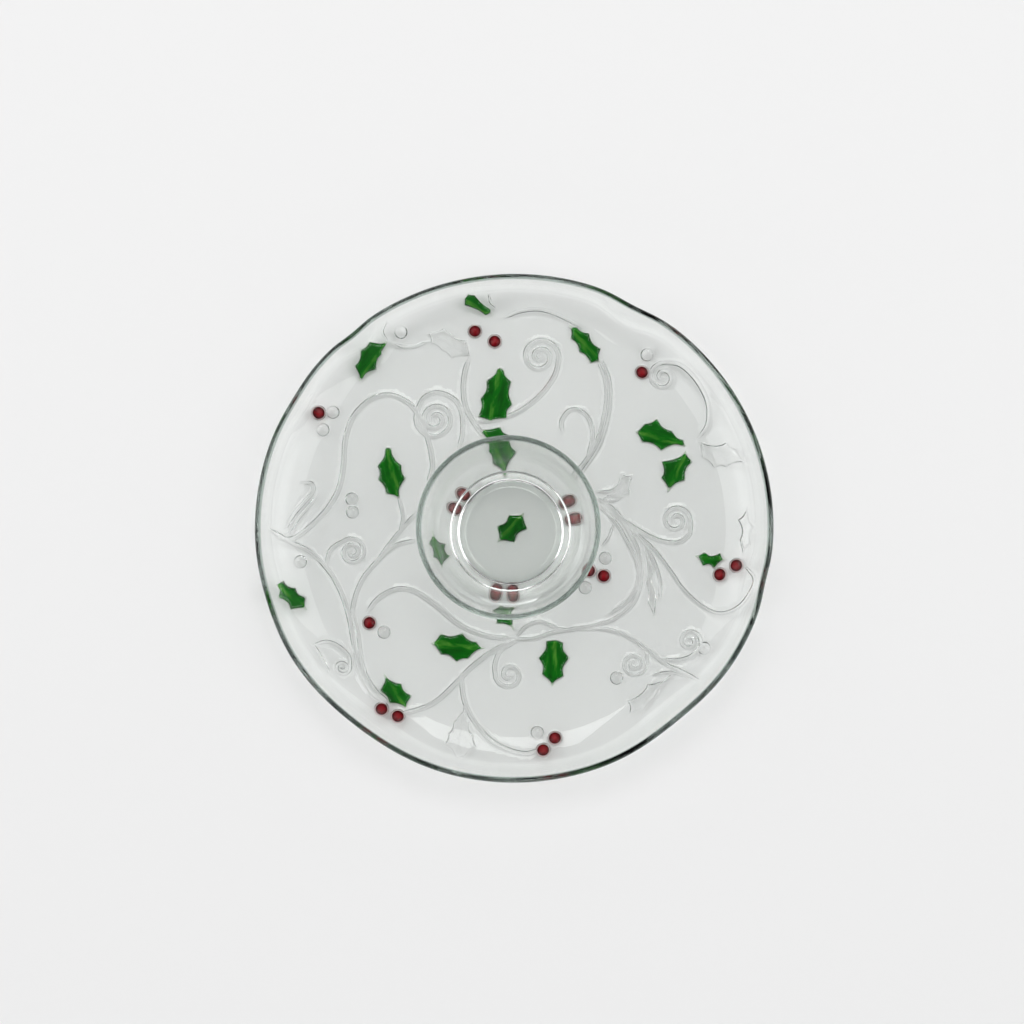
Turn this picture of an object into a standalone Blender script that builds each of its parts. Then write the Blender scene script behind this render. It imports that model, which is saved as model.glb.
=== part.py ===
"""Two-piece chip and dip server in pressed clear glass.

A broad platter with a softly pinched rim carries a loose dip bowl on its flat floor. Holly leaves and
berries are pressed into the platter's underside, and each one holds its own fired enamel filling.

Frame: metres, +Z up. The origin is on the table, under the middle of the platter's outline.
"""

import math

import bmesh
import bpy
from mathutils import Matrix, Vector

MM = 0.001

# Fits
GAP = 0.3 * MM                    # clearance between pieces that touch

# Platter section, before the rim's waves: a flat floor, a round cove and a short straight lip
PLATTER_SEGMENTS = 96
FLOOR_RADIUS = 127.0 * MM         # where the flat underside ends and the cove starts
GLASS_THICKNESS = 4.6 * MM
COVE_RADIUS = 46.0 * MM           # of the cove's underside
COVE_SLOPE = math.radians(52.0)   # the cove ends, and the lip leaves, at this slope
COVE_STEPS = 4
LIP_LENGTH = 1.0 * MM
LIP_ROUND_STEPS = 3

# The rim seen from above: a slight stretch along X, and hand-made pinches
RIM_STRETCH = 1.4 * MM
RIM_LIFT = 1.2                    # a pinch lifts the rim by this much of its depth
PINCHES = (                       # angle and half-width in degrees, depth in millimetres
    (61.0, 6.0, 2.5),
    (130.0, 4.0, 1.9),
    (150.0, 6.0, 0.9),
    (198.0, 9.0, 0.9),
    (232.0, 16.0, 2.4),
    (310.0, 12.0, 2.2),
    (347.0, 5.0, 1.3),
)

# Dip bowl, heights above its own foot
BOWL_CENTRE = (-1.9 * MM, -3.0 * MM)
BOWL_SEGMENTS = 64
BOWL_RIM_RADIUS = 58.0 * MM
BOWL_HEIGHT = 40.0 * MM
BOWL_WALL = 3.2 * MM
BOWL_RIM_STEPS = 3
BOWL_FOOT_RADIUS = 40.5 * MM
BOWL_FOOT_HEIGHT = 3.0 * MM
BOWL_FOOT_BEVEL = 1.0 * MM        # of the foot ring's two lower edges
BOWL_HEEL_STEP = 0.6 * MM         # how far the wall starts outside the foot ring
BOWL_HEEL_RISE = 1.2 * MM
BOWL_RECESS_RADIUS = 35.5 * MM
BOWL_RECESS_DEPTH = 1.0 * MM
BOWL_FLOOR_RADIUS = 30.0 * MM
BOWL_FLOOR_HEIGHT = 5.0 * MM
BOWL_OUTER_BELLY = (48.0 * MM, 12.0 * MM)   # the wall curves pull towards these points
BOWL_INNER_BELLY = (43.0 * MM, 9.0 * MM)
BOWL_WALL_STEPS = 6

# Pockets and their enamel fillings, heights above the underside they lie in
ENAMEL_RECESS = 0.4 * MM          # keeps the enamel clear of the table
LEAF_ENAMEL = 0.6 * MM
LEAF_INSET = 0.5 * MM             # from a leaf pocket's wall to its enamel
LEAF_HOLLOW = 0.17                # how far an edge bows in between two spines, as part of their spacing
LEAF_LENGTH = 30.0                # of a common leaf, in millimetres
LEAF_LEAST_WIDTH = 1.6            # of a leaf pocket between its two ends, in millimetres
LEAF_ROW_SPACING = 0.07           # a longer part of the midrib than this gets a row of points in its middle
CORNER_REACH = 2.0                # how far a sharp corner may move, as part of its edges' own move
FLAT_ENOUGH = math.radians(0.3)   # faces that differ by less than this are merged
POCKET_OVERRUN = 2.0 * MM         # how far a pocket's cutter starts below the glass
BERRY_RADIUS = 3.7 * MM
BERRY_CROWN_RADIUS = 2.6 * MM
BERRY_ENAMEL = 1.2 * MM
BERRY_SEGMENTS = 12
SLOPE_STEP = 0.5 * MM             # for measuring the underside's slope

# Each leaf, in millimetres: stem, tip, then the spines to the left and right of the midrib as seen
# walking from stem to tip. A spine is its place along the midrib (0 to 1) and its distance from it.
# The first leaf has nearly straight sides, so it gives its own hollow.
LEAVES = (
    ((-15.1, 140.6), (-32.2, 149.8), ((0.11, 2.9), (0.91, 3.8)),
     ((0.05, 2.7), (0.75, 5.6), (0.96, 4.1)), 0.04),
    ((-82.5, 123.0), (-101.5, 96.0), ((0.3, 2.0), (0.6, 5.0)), ((0.25, 9.5), (0.47, 11.0), (0.79, 8.5))),
    ((56.0, 108.0), (36.0, 133.0), ((0.1, 6.0), (0.43, 6.5), (0.75, 5.5)),
     ((0.2, 6.5), (0.6, 7.0), (0.85, 3.5))),
    ((-15.0, 69.5), (-8.5, 105.0), ((0.04, 9.5), (0.37, 9.5), (0.72, 8.0), (0.95, 2.4)),
     ((0.1, 10.0), (0.37, 12.0), (0.77, 9.0), (0.95, 2.4))),
    ((-74.5, 19.0), (-84.0, 53.0), ((0.16, 8.0), (0.45, 10.5), (0.7, 8.5)),
     ((0.34, 8.0), (0.59, 7.5), (0.95, 4.0))),
    ((-20.1, 64.4), (-5.4, 34.9), ((0.11, 10.8), (0.36, 14.1), (0.72, 13.0)),
     ((0.06, 2.2), (0.45, 3.5), (0.7, 5.0))),
    ((112.0, 52.5), (78.0, 62.0), ((0.43, 7.5), (0.81, 5.5)),
     ((0.08, 3.5), (0.34, 7.5), (0.66, 12.5), (0.85, 7.5))),
    ((111.5, 50.0), (99.5, 22.0), ((0.18, 7.0), (0.6, 7.5)), ((0.43, 12.0), (0.75, 8.0))),
    ((-134.0, -54.0), (-153.5, -37.5), ((0.32, 7.0), (0.74, 6.5)), ((0.26, 6.5), (0.61, 6.5), (0.96, 5.0))),
    ((-18.5, -78.0), (-54.0, -75.0), ((0.29, 8.0), (0.49, 10.5), (0.8, 6.5)),
     ((0.17, 4.0), (0.44, 9.0), (0.83, 7.5))),
    ((27.0, -72.5), (24.5, -103.0), ((0.04, 5.0), (0.36, 10.0), (0.75, 7.0)),
     ((0.04, 6.5), (0.4, 10.5), (0.75, 7.5))),
    ((-69.5, -117.5), (-84.0, -94.0), ((0.33, 8.0), (0.68, 9.0)), ((0.21, 8.5), (0.58, 6.5))),
    ((137.0, -21.5), (116.0, -18.5), ((0.32, 7.0), (0.7, 6.0)), ((0.22, 4.5), (0.7, 3.5))),
    ((-11.0, -10.0), (7.0, 10.0), ((0.3, 7.5), (0.7, 6.5)), ((0.29, 8.5), (0.74, 9.0))),
    ((-45.5, -26.5), (-53.0, -1.0), ((0.34, 4.5), (0.68, 5.0)), ((0.24, 6.0), (0.56, 5.5))),
    ((0.0, -66.5), (-8.5, -48.5), ((0.45, 9.0), (0.88, 8.5)), ((0.3, 2.5), (0.72, 8.5))),
)

# The berries' centres in millimetres, in their clusters
BERRIES = (
    (-25.5, 129.0), (-12.5, 122.0),
    (-128.0, 75.5),
    (83.5, 101.0),
    (-93.5, -61.5),
    (-85.5, -118.0), (-75.0, -122.5),
    (19.0, -144.0), (26.5, -136.0),
    (133.0, -31.0), (144.0, -25.5),
    (48.5, -28.0), (58.0, -31.5),
    (-34.0, 22.5), (-39.5, 13.0),
    (36.0, 17.0), (40.0, 5.5),
    (-11.5, -43.0), (-0.5, -43.5),
)


# ---------------------------------------------------------------- scene and materials

def clear_scene():
    for thing in list(bpy.data.objects):
        bpy.data.objects.remove(thing, do_unlink=True)


def principled(name, colour, roughness, transmission=0.0, ior=1.5):
    material = bpy.data.materials.new(name)
    material.use_nodes = True
    shader = material.node_tree.nodes["Principled BSDF"]
    shader.inputs["Base Color"].default_value = (*colour, 1.0)
    shader.inputs["Roughness"].default_value = roughness
    shader.inputs["Metallic"].default_value = 0.0
    shader.inputs["Transmission Weight"].default_value = transmission
    shader.inputs["IOR"].default_value = ior
    return material


def add_object(name, mesh, material):
    thing = bpy.data.objects.new(name, mesh)
    if not mesh.materials:
        mesh.materials.append(material)
    bpy.context.scene.collection.objects.link(thing)
    return thing


def mesh_from(name, vertices, faces):
    mesh = bpy.data.meshes.new(name)
    mesh.from_pydata(vertices, [], faces)
    mesh.validate()
    return mesh


# ---------------------------------------------------------------- turned shapes

def lathe(name, profile, segments, place):
    """A closed turned solid. The profile runs from the top's middle outwards and back underneath, as
    (radius, height) pairs without the two points on the axis; place(radius, height, angle) puts each
    point."""
    vertices = []
    for radius, height in profile:
        for step in range(segments):
            vertices.append(place(radius, height, math.tau * step / segments))
    faces = [tuple(range(segments))]
    for ring in range(len(profile) - 1):
        upper = ring * segments
        lower = upper + segments
        for step in range(segments):
            after = (step + 1) % segments
            faces.append((upper + step, lower + step, lower + after, upper + after))
    last = (len(profile) - 1) * segments
    faces.append(tuple(last + step for step in reversed(range(segments))))
    return mesh_from(name, vertices, faces)


def round_end(start, end, steps):
    """The half circle that bulges to the left of the way from start to end, its two ends left out."""
    centre = Vector(((start[0] + end[0]) / 2, (start[1] + end[1]) / 2))
    arm = Vector((start[0] - centre.x, start[1] - centre.y))
    points = []
    for step in range(1, steps + 1):
        swung = arm.copy()
        swung.rotate(Matrix.Rotation(-math.pi * step / (steps + 1), 2))
        points.append((centre.x + swung.x, centre.y + swung.y))
    return points


def turned(radius, height, angle):
    """A point of a plain turned shape."""
    return (radius * math.cos(angle), radius * math.sin(angle), height)


def curve_through(start, pull, end, steps):
    """Points on a quadratic curve from start to end, drawn towards pull."""
    points = []
    for step in range(steps + 1):
        u = step / steps
        points.append(tuple(
            (1 - u) ** 2 * a + 2 * u * (1 - u) * b + u ** 2 * c for a, b, c in zip(start, pull, end)
        ))
    return points


# ---------------------------------------------------------------- platter

def platter_section():
    """The platter's profile before its waves, as (radius, height) pairs from the top's middle."""
    slopes = [COVE_SLOPE * step / COVE_STEPS for step in range(COVE_STEPS + 1)]
    upper, lower = (
        [
            (FLOOR_RADIUS + radius * math.sin(slope), COVE_RADIUS - radius * math.cos(slope))
            for slope in slopes
        ]
        for radius in (COVE_RADIUS - GLASS_THICKNESS, COVE_RADIUS)
    )
    for side in (upper, lower):
        radius, height = side[-1]
        side.append((
            radius + LIP_LENGTH * math.cos(COVE_SLOPE), height + LIP_LENGTH * math.sin(COVE_SLOPE)
        ))
    return upper + round_end(upper[-1], lower[-1], LIP_ROUND_STEPS) + lower[::-1]


SECTION = platter_section()
RIM_RADIUS = max(radius for radius, _ in SECTION)


def pinch_at(angle):
    """How far the rim is pinched inwards in this direction."""
    total = 0.0
    for centre, half_width, depth in PINCHES:
        off = math.remainder(angle - math.radians(centre), math.tau)
        total += depth * MM * math.exp(-(off / math.radians(half_width)) ** 2)
    return total


def rim_shift(angle):
    """How far the rim stands outside its plain circle in this direction."""
    return RIM_STRETCH * math.cos(2 * angle) - pinch_at(angle)


def waved(radius, height, angle):
    """A point of the plain section, with the rim's waves added. They grow from nothing at the floor."""
    reach = max(0.0, (radius - FLOOR_RADIUS) / (RIM_RADIUS - FLOOR_RADIUS))
    out = radius + reach * rim_shift(angle)
    lift = reach ** 2 * RIM_LIFT * pinch_at(angle)
    return Vector((out * math.cos(angle), out * math.sin(angle), height + lift))


def outline_centre():
    """The middle of the box round the waved outline."""
    outline = [waved(RIM_RADIUS, 0.0, math.tau * step / PLATTER_SEGMENTS) for step in range(PLATTER_SEGMENTS)]
    return Vector((
        (min(p.x for p in outline) + max(p.x for p in outline)) / 2,
        (min(p.y for p in outline) + max(p.y for p in outline)) / 2,
        0.0,
    ))


CENTRE = outline_centre()


def platter_point(radius, height, angle):
    return waved(radius, height, angle) - CENTRE


def underside(x, y):
    """The height of the platter's underside at a place."""
    x += CENTRE.x
    y += CENTRE.y
    angle = math.atan2(y, x)
    stretch = rim_shift(angle) / (RIM_RADIUS - FLOOR_RADIUS)
    plain = (math.hypot(x, y) + FLOOR_RADIUS * stretch) / (1 + stretch)
    along = (plain - FLOOR_RADIUS) / COVE_RADIUS
    if along <= 0:
        return 0.0
    sine = min(along, math.sin(COVE_SLOPE))
    reach = (plain - FLOOR_RADIUS) / (RIM_RADIUS - FLOOR_RADIUS)
    return COVE_RADIUS * (1 - math.sqrt(1 - sine ** 2)) + reach ** 2 * RIM_LIFT * pinch_at(angle)


def make_platter(glass, cutters):
    platter = add_object("platter", lathe("platter", SECTION, PLATTER_SEGMENTS, platter_point), glass)
    cut = platter.modifiers.new("pockets", "BOOLEAN")
    cut.operation = "DIFFERENCE"
    cut.solver = "EXACT"
    cut.object = cutters
    return platter


# ---------------------------------------------------------------- dip bowl

def bowl_section():
    inner_rim = (BOWL_RIM_RADIUS - BOWL_WALL, BOWL_HEIGHT - BOWL_WALL / 2)
    outer_rim = (BOWL_RIM_RADIUS, BOWL_HEIGHT - BOWL_WALL / 2)
    inside = curve_through(
        (BOWL_FLOOR_RADIUS, BOWL_FLOOR_HEIGHT), BOWL_INNER_BELLY, inner_rim, BOWL_WALL_STEPS
    )
    heel = (BOWL_FOOT_RADIUS + BOWL_HEEL_STEP, BOWL_FOOT_HEIGHT + BOWL_HEEL_RISE)
    outside = curve_through(outer_rim, BOWL_OUTER_BELLY, heel, BOWL_WALL_STEPS)
    foot = [
        (BOWL_FOOT_RADIUS, BOWL_FOOT_HEIGHT),
        (BOWL_FOOT_RADIUS, BOWL_FOOT_BEVEL),
        (BOWL_FOOT_RADIUS - BOWL_FOOT_BEVEL, 0.0),
        (BOWL_RECESS_RADIUS + BOWL_FOOT_BEVEL, 0.0),
        (BOWL_RECESS_RADIUS, BOWL_RECESS_DEPTH),
    ]
    return inside + round_end(inner_rim, outer_rim, BOWL_RIM_STEPS) + outside + foot


def make_bowl(glass):
    bowl = add_object("dip_bowl", lathe("dip_bowl", bowl_section(), BOWL_SEGMENTS, turned), glass)
    bowl.location = (*BOWL_CENTRE, GLASS_THICKNESS + GAP)
    return bowl


# ---------------------------------------------------------------- enamel leaves

def side_width(place, spines, hollow):
    """The leaf's width on one side at a place along its midrib: spine to spine in hollow arcs."""
    knots = [(0.0, 0.0), *spines, (1.0, 0.0)]
    for (start, near), (end, far) in zip(knots, knots[1:]):
        if place <= end:
            u = (place - start) / (end - start)
            bow = hollow * math.hypot((end - start) * LEAF_LENGTH, far - near)
            return max((1 - u) * near + u * far - bow * 4 * u * (1 - u), LEAF_LEAST_WIDTH / 2)
    return 0.0


def leaf_outline(stem, tip, left, right, hollow=LEAF_HOLLOW):
    """Matching points down the left edge, the midrib and the right edge, in metres."""
    start = Vector(stem) * MM
    run = Vector(tip) * MM - start
    across = Vector((-run.y, run.x)).normalized()
    knots = sorted({0.0, 1.0, *(place for place, _ in left + right)})
    places = []
    for here, after in zip(knots, knots[1:]):
        places.append(here)
        if after - here > LEAF_ROW_SPACING:
            places.append((here + after) / 2)
    rows = [(start, start, start)]
    for place in places[1:]:
        middle = start + run * place
        rows.append((
            middle + across * side_width(place, left, hollow) * MM,
            middle,
            middle - across * side_width(place, right, hollow) * MM,
        ))
    tip_point = start + run
    rows.append((tip_point, tip_point, tip_point))
    return rows


def grown(rows, distance):
    """The same leaf with its edges moved outwards by a distance, square to the edge."""
    loop = [row[0] for row in rows] + [row[2] for row in reversed(rows[1:-1])]
    moved = []
    for index, point in enumerate(loop):
        into = (point - loop[index - 1]).normalized()
        out_of = (loop[(index + 1) % len(loop)] - point).normalized()
        normals = Vector((-into.y, into.x)) + Vector((-out_of.y, out_of.x))
        # At a sharp spine the true corner would run far out, so its move is held back.
        moved.append(point + normals * (distance / max(normals.length_squared / 2, 1 / CORNER_REACH)))
    count = len(rows)
    result = [(moved[0],) * 3]
    for index in range(1, count - 1):
        result.append((moved[index], rows[index][1], moved[len(loop) - index]))
    result.append((moved[count - 1],) * 3)
    return result


def leaf_mesh(name, rows, low, high):
    """A leaf-shaped slab that follows the underside, between two heights above it."""
    body = bmesh.new()
    layers = []
    for height in (low, high):
        layer = []
        for index, row in enumerate(rows):
            if index in (0, len(rows) - 1):
                vertex = body.verts.new((row[0].x, row[0].y, underside(*row[0]) + height))
                layer.append((vertex, vertex, vertex))
            else:
                layer.append(tuple(body.verts.new((p.x, p.y, underside(*p) + height)) for p in row))
        layers.append(layer)
    for layer, up in zip(layers, (False, True)):
        for near, far in zip(layer, layer[1:]):
            for side in (0, 1):
                corners = [near[side], far[side], far[side + 1], near[side + 1]]
                corners = list(dict.fromkeys(corners))
                body.faces.new(corners[::-1] if up else corners)
    bottom, top = layers
    for index in range(len(rows) - 1):
        for side, flip in ((0, False), (2, True)):
            corners = [bottom[index][side], bottom[index + 1][side], top[index + 1][side], top[index][side]]
            body.faces.new(corners if flip else corners[::-1])
    bmesh.ops.recalc_face_normals(body, faces=body.faces)
    # The flat leaves' strips merge into one face; those on the cove keep theirs.
    bmesh.ops.dissolve_limit(body, angle_limit=FLAT_ENOUGH, verts=body.verts, edges=body.edges)
    bmesh.ops.triangulate(body, faces=[face for face in body.faces if len(face.verts) > 3])
    mesh = bpy.data.meshes.new(name)
    body.to_mesh(mesh)
    body.free()
    return mesh


def make_leaves(enamel):
    """The leaves' enamel, and the meshes of the pockets they lie in."""
    pockets = []
    top = ENAMEL_RECESS + LEAF_ENAMEL
    for number, leaf in enumerate(LEAVES, 1):
        rows = leaf_outline(*leaf)
        name = f"leaf_enamel_{number:02d}"
        add_object(name, leaf_mesh(name, grown(rows, -LEAF_INSET), ENAMEL_RECESS, top), enamel)
        pockets.append(leaf_mesh(f"leaf_pocket_{number:02d}", rows, -POCKET_OVERRUN, top + GAP))
    return pockets


# ---------------------------------------------------------------- enamel berries

def berry_mesh(name, profile):
    return lathe(name, profile, BERRY_SEGMENTS, turned)


def berry_place(x, y):
    """Where a berry sits: on the underside, turned to stand square to it."""
    slope_x = (underside(x + SLOPE_STEP, y) - underside(x - SLOPE_STEP, y)) / (2 * SLOPE_STEP)
    slope_y = (underside(x, y + SLOPE_STEP) - underside(x, y - SLOPE_STEP)) / (2 * SLOPE_STEP)
    square = Vector((-slope_x, -slope_y, 1.0)).normalized()
    turn = Vector((0.0, 0.0, 1.0)).rotation_difference(square).to_matrix().to_4x4()
    return Matrix.Translation((x, y, underside(x, y))) @ turn


def make_berries(enamel):
    """The berries' enamel, and the meshes of the pockets they lie in."""
    pockets = []
    top = ENAMEL_RECESS + BERRY_ENAMEL
    shape = berry_mesh("berry_enamel", [(BERRY_CROWN_RADIUS, top), (BERRY_RADIUS, ENAMEL_RECESS)])
    pocket_profile = [
        (BERRY_CROWN_RADIUS + GAP, top + GAP),
        (BERRY_RADIUS + GAP, ENAMEL_RECESS),
        (BERRY_RADIUS + GAP, -POCKET_OVERRUN),
    ]
    for number, (x, y) in enumerate(BERRIES, 1):
        place = berry_place(x * MM, y * MM)
        add_object(f"berry_enamel_{number:02d}", shape, enamel).matrix_world = place
        pocket = berry_mesh(f"berry_pocket_{number:02d}", pocket_profile)
        pocket.transform(place)
        pockets.append(pocket)
    return pockets


def join_cutters(meshes):
    """One hidden cutter out of all the pockets, which stand clear of each other."""
    body = bmesh.new()
    for mesh in meshes:
        body.from_mesh(mesh)
        bpy.data.meshes.remove(mesh)
    joined = bpy.data.meshes.new("pocket_cutter")
    body.to_mesh(joined)
    body.free()
    cutter = bpy.data.objects.new("pocket_cutter", joined)
    bpy.context.scene.collection.objects.link(cutter)
    cutter.hide_render = True
    cutter.display_type = "WIRE"
    return cutter


def main():
    clear_scene()
    platter_glass = principled("platter glass", (0.96, 0.98, 0.97), 0.02, transmission=1.0, ior=1.52)
    bowl_glass = principled("bowl glass", (0.96, 0.98, 0.97), 0.02, transmission=1.0, ior=1.52)
    leaf_green = principled("green leaf enamel", (0.003, 0.12, 0.006), 0.35)
    berry_red = principled("red berry enamel", (0.20, 0.004, 0.008), 0.3)
    pockets = make_leaves(leaf_green) + make_berries(berry_red)
    make_platter(platter_glass, join_cutters(pockets))
    make_bowl(bowl_glass)


main()
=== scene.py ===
"""Looks of a chip and dip server in pressed clear glass, built round its CAD frame.

The platter's underside carries the whole pattern: scrolling vines, holly leaves and berries, pressed into
the hot glass from below. Sixteen leaves are filled with green enamel and nineteen berries with red, and the
rest of the pattern stays clear. A plain dip bowl stands loose on the floor of the platter.

Units: metres, +Z up, in the frame's own place. Tables of places are in millimetres.
"""

import logging
import math
from dataclasses import dataclass
from enum import Enum

import bpy
import numpy as np
from mathutils import Matrix, Vector
from mathutils.geometry import delaunay_2d_cdt
from mathutils.kdtree import KDTree

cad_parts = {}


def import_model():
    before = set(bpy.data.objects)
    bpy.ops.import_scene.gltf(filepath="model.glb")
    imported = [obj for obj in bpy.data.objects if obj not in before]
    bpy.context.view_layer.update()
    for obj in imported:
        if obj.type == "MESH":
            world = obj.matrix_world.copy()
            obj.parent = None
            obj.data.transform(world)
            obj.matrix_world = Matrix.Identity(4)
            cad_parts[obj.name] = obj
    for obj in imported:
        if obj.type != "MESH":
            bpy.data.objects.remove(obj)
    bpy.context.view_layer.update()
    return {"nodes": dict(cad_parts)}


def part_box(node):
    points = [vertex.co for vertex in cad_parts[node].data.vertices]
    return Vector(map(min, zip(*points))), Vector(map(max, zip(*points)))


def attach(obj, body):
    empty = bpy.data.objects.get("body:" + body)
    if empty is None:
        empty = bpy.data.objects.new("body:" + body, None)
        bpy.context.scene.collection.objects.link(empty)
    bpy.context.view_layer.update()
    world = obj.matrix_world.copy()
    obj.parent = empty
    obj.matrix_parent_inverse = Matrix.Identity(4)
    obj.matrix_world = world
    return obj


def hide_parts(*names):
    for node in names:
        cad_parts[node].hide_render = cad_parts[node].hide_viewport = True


MM = 0.001
LOG = logging.getLogger("chip_and_dip")

FLATTENED = (1.0, 1.0, 0.0)  # takes a vector's height away
CURVE_STEPS = 12  # in a smooth curve, from one of its points to the next
OUTLINE_STEP = 0.9  # along a leaf's edge, in mm
FROST_GAIN = 9.0  # of the matt band on a wall, over its depth's share times what is left of it


class Slot(Enum):
    """The record's material slots."""

    PLATTER_GLASS = "platter_glass"
    BOWL_GLASS = "bowl_glass"
    LEAF_ENAMEL = "leaf_enamel"
    BERRY_ENAMEL = "berry_enamel"


class Side(Enum):
    """Which way a vine's end curls, seen from above along its run."""

    LEFT = 1
    RIGHT = -1


# ---------------------------------------------------------------- small helpers


def srgb(value: str) -> tuple[float, float, float, float]:
    """Turns a colour into the shader's linear numbers.

    Args:
        value: the colour as six hex digits.

    Returns:
        Linear red, green, blue and an alpha of one.
    """
    shares = [int(value[at:at + 2], 16) / 255 for at in (0, 2, 4)]
    linear = [s / 12.92 if s <= 0.04045 else ((s + 0.055) / 1.055) ** 2.4 for s in shares]
    return (*linear, 1.0)


def feed(tree: bpy.types.NodeTree, node: bpy.types.Node, feeds: dict) -> None:
    """Gives a node its inputs.

    Args:
        tree: the shader or geometry tree.
        node: the node.
        feeds: input name or number to a value, or to the socket that feeds it.
    """
    for key, value in feeds.items():
        if isinstance(value, bpy.types.NodeSocket):
            tree.links.new(value, node.inputs[key])
        else:
            node.inputs[key].default_value = value


def add_node(tree: bpy.types.NodeTree, kind: str, feeds: dict | None = None, **settings) -> bpy.types.Node:
    """Adds a node with its settings, values and links.

    Args:
        tree: the shader or geometry tree.
        kind: the node's type name.
        feeds: as in feed.
        **settings: the node's own properties.

    Returns:
        The new node.
    """
    node = tree.nodes.new(kind)
    for name, value in settings.items():
        setattr(node, name, value)
    feed(tree, node, feeds or {})
    return node


def maths(tree: bpy.types.NodeTree, operation: str, *values, **settings) -> bpy.types.NodeSocket:
    """Adds a maths node, with its values or sockets in order, and gives its result."""
    node = add_node(tree, "ShaderNodeMath", dict(enumerate(values)), operation=operation, **settings)
    return node.outputs[0]


def vector_maths(tree: bpy.types.NodeTree, operation: str, *values) -> bpy.types.NodeSocket:
    """Adds a vector maths node, with its values or sockets in order, and gives its result."""
    return add_node(tree, "ShaderNodeVectorMath", dict(enumerate(values)), operation=operation).outputs[0]


def scaled(tree: bpy.types.NodeTree, vector: bpy.types.NodeSocket,
           scale: bpy.types.NodeSocket) -> bpy.types.NodeSocket:
    """Multiplies a vector by a number."""
    return add_node(tree, "ShaderNodeVectorMath", {0: vector, "Scale": scale}, operation="SCALE").outputs[0]


def smooth_range(tree: bpy.types.NodeTree, value: bpy.types.NodeSocket, start, end, low=0.0,
                 high=1.0) -> bpy.types.NodeSocket:
    """Runs smoothly from low to high while the value runs from start to end.

    Args:
        tree: the shader or geometry tree.
        value: the socket with the value.
        start: the value where the run starts, or its socket.
        end: the value where it ends, or its socket.
        low: the result up to the start, or its socket.
        high: the result from the end on, or its socket.

    Returns:
        The socket with the result.
    """
    node = add_node(tree, "ShaderNodeMapRange", {
        "Value": value, "From Min": start, "From Max": end, "To Min": low, "To Max": high,
    }, interpolation_type="SMOOTHSTEP")
    return node.outputs["Result"]


def stored(tree: bpy.types.NodeTree, name: str) -> bpy.types.NodeSocket:
    """Reads a number that is stored on the mesh's points, in a shader or a geometry tree."""
    if tree.bl_idname == "ShaderNodeTree":
        return add_node(tree, "ShaderNodeAttribute", attribute_name=name).outputs["Fac"]
    node = add_node(tree, "GeometryNodeInputNamedAttribute", {"Name": name}, data_type="FLOAT")
    return node.outputs["Attribute"]


def geometry_of(tree: bpy.types.NodeTree, given: bpy.types.NodeSocket) -> bpy.types.NodeSocket:
    """Reads the geometry of an object that a tree is given."""
    return add_node(tree, "GeometryNodeObjectInfo", {"Object": given}).outputs["Geometry"]


def colour_ramp(tree: bpy.types.NodeTree, factor: bpy.types.NodeSocket, stops) -> bpy.types.NodeSocket:
    """Adds a colour ramp.

    Args:
        tree: the shader tree.
        factor: the socket that runs along the ramp.
        stops: each stop's place and linear colour.

    Returns:
        The socket with the colour.
    """
    node = add_node(tree, "ShaderNodeValToRGB", {"Fac": factor})
    elements = node.color_ramp.elements
    elements.remove(elements[-1])
    for number, (place, colour) in enumerate(stops):
        element = elements[0] if number == 0 else elements.new(place)
        element.position, element.color = place, colour
    return node.outputs[0]


def mixed(tree: bpy.types.NodeTree, factor: bpy.types.NodeSocket, first, second) -> bpy.types.NodeSocket:
    """Mixes two colours, each a linear colour or its socket."""
    node = add_node(tree, "ShaderNodeMix", {"Factor": factor, 6: first, 7: second}, data_type="RGBA")
    return node.outputs[2]


def new_material(name: str) -> tuple[bpy.types.Material, bpy.types.Node]:
    """Makes a material and gives it with its principled shader."""
    made = bpy.data.materials.new(name)
    made.use_nodes = True
    return made, made.node_tree.nodes["Principled BSDF"]


def geometry_tree(name: str, sockets: dict[str, str]) -> bpy.types.NodeTree:
    """Starts a Geometry Nodes tree with named inputs.

    Args:
        name: the tree's name.
        sockets: each input's name and socket type, after the geometry itself.

    Returns:
        The tree, with its group input and output nodes in it.
    """
    tree = bpy.data.node_groups.new(name, "GeometryNodeTree")
    tree.interface.new_socket("Geometry", in_out="INPUT", socket_type="NodeSocketGeometry")
    for label, kind in sockets.items():
        tree.interface.new_socket(label, in_out="INPUT", socket_type=kind)
    tree.interface.new_socket("Geometry", in_out="OUTPUT", socket_type="NodeSocketGeometry")
    return tree


def finish_tree(tree: bpy.types.NodeTree, geometry: bpy.types.NodeSocket,
                material: bpy.types.NodeSocket) -> None:
    """Ends a tree in real geometry with its material.

    Args:
        tree: the Geometry Nodes tree.
        geometry: the finished geometry.
        material: the group input that holds the material.
    """
    real = add_node(tree, "GeometryNodeRealizeInstances", {0: geometry})
    dressed = add_node(tree, "GeometryNodeSetMaterial", {"Geometry": real.outputs[0], "Material": material})
    add_node(tree, "NodeGroupOutput", {0: dressed.outputs[0]})


def run_tree(piece: bpy.types.Object, tree: bpy.types.NodeTree, values: dict[str, object]) -> None:
    """Runs a Geometry Nodes tree on a piece and keeps the result as its plain mesh.

    Args:
        piece: the object that holds the tree's starting mesh.
        tree: the Geometry Nodes tree.
        values: input name to value.
    """
    modifier = piece.modifiers.new(tree.name, "NODES")
    modifier.node_group = tree
    for item in tree.interface.items_tree:
        if item.item_type == "SOCKET" and item.in_out == "INPUT" and item.name in values:
            modifier[item.identifier] = values[item.name]
    graph = bpy.context.evaluated_depsgraph_get()
    made = bpy.data.meshes.new_from_object(piece.evaluated_get(graph))
    piece.modifiers.clear()
    piece.data = made
    made.shade_smooth()


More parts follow.
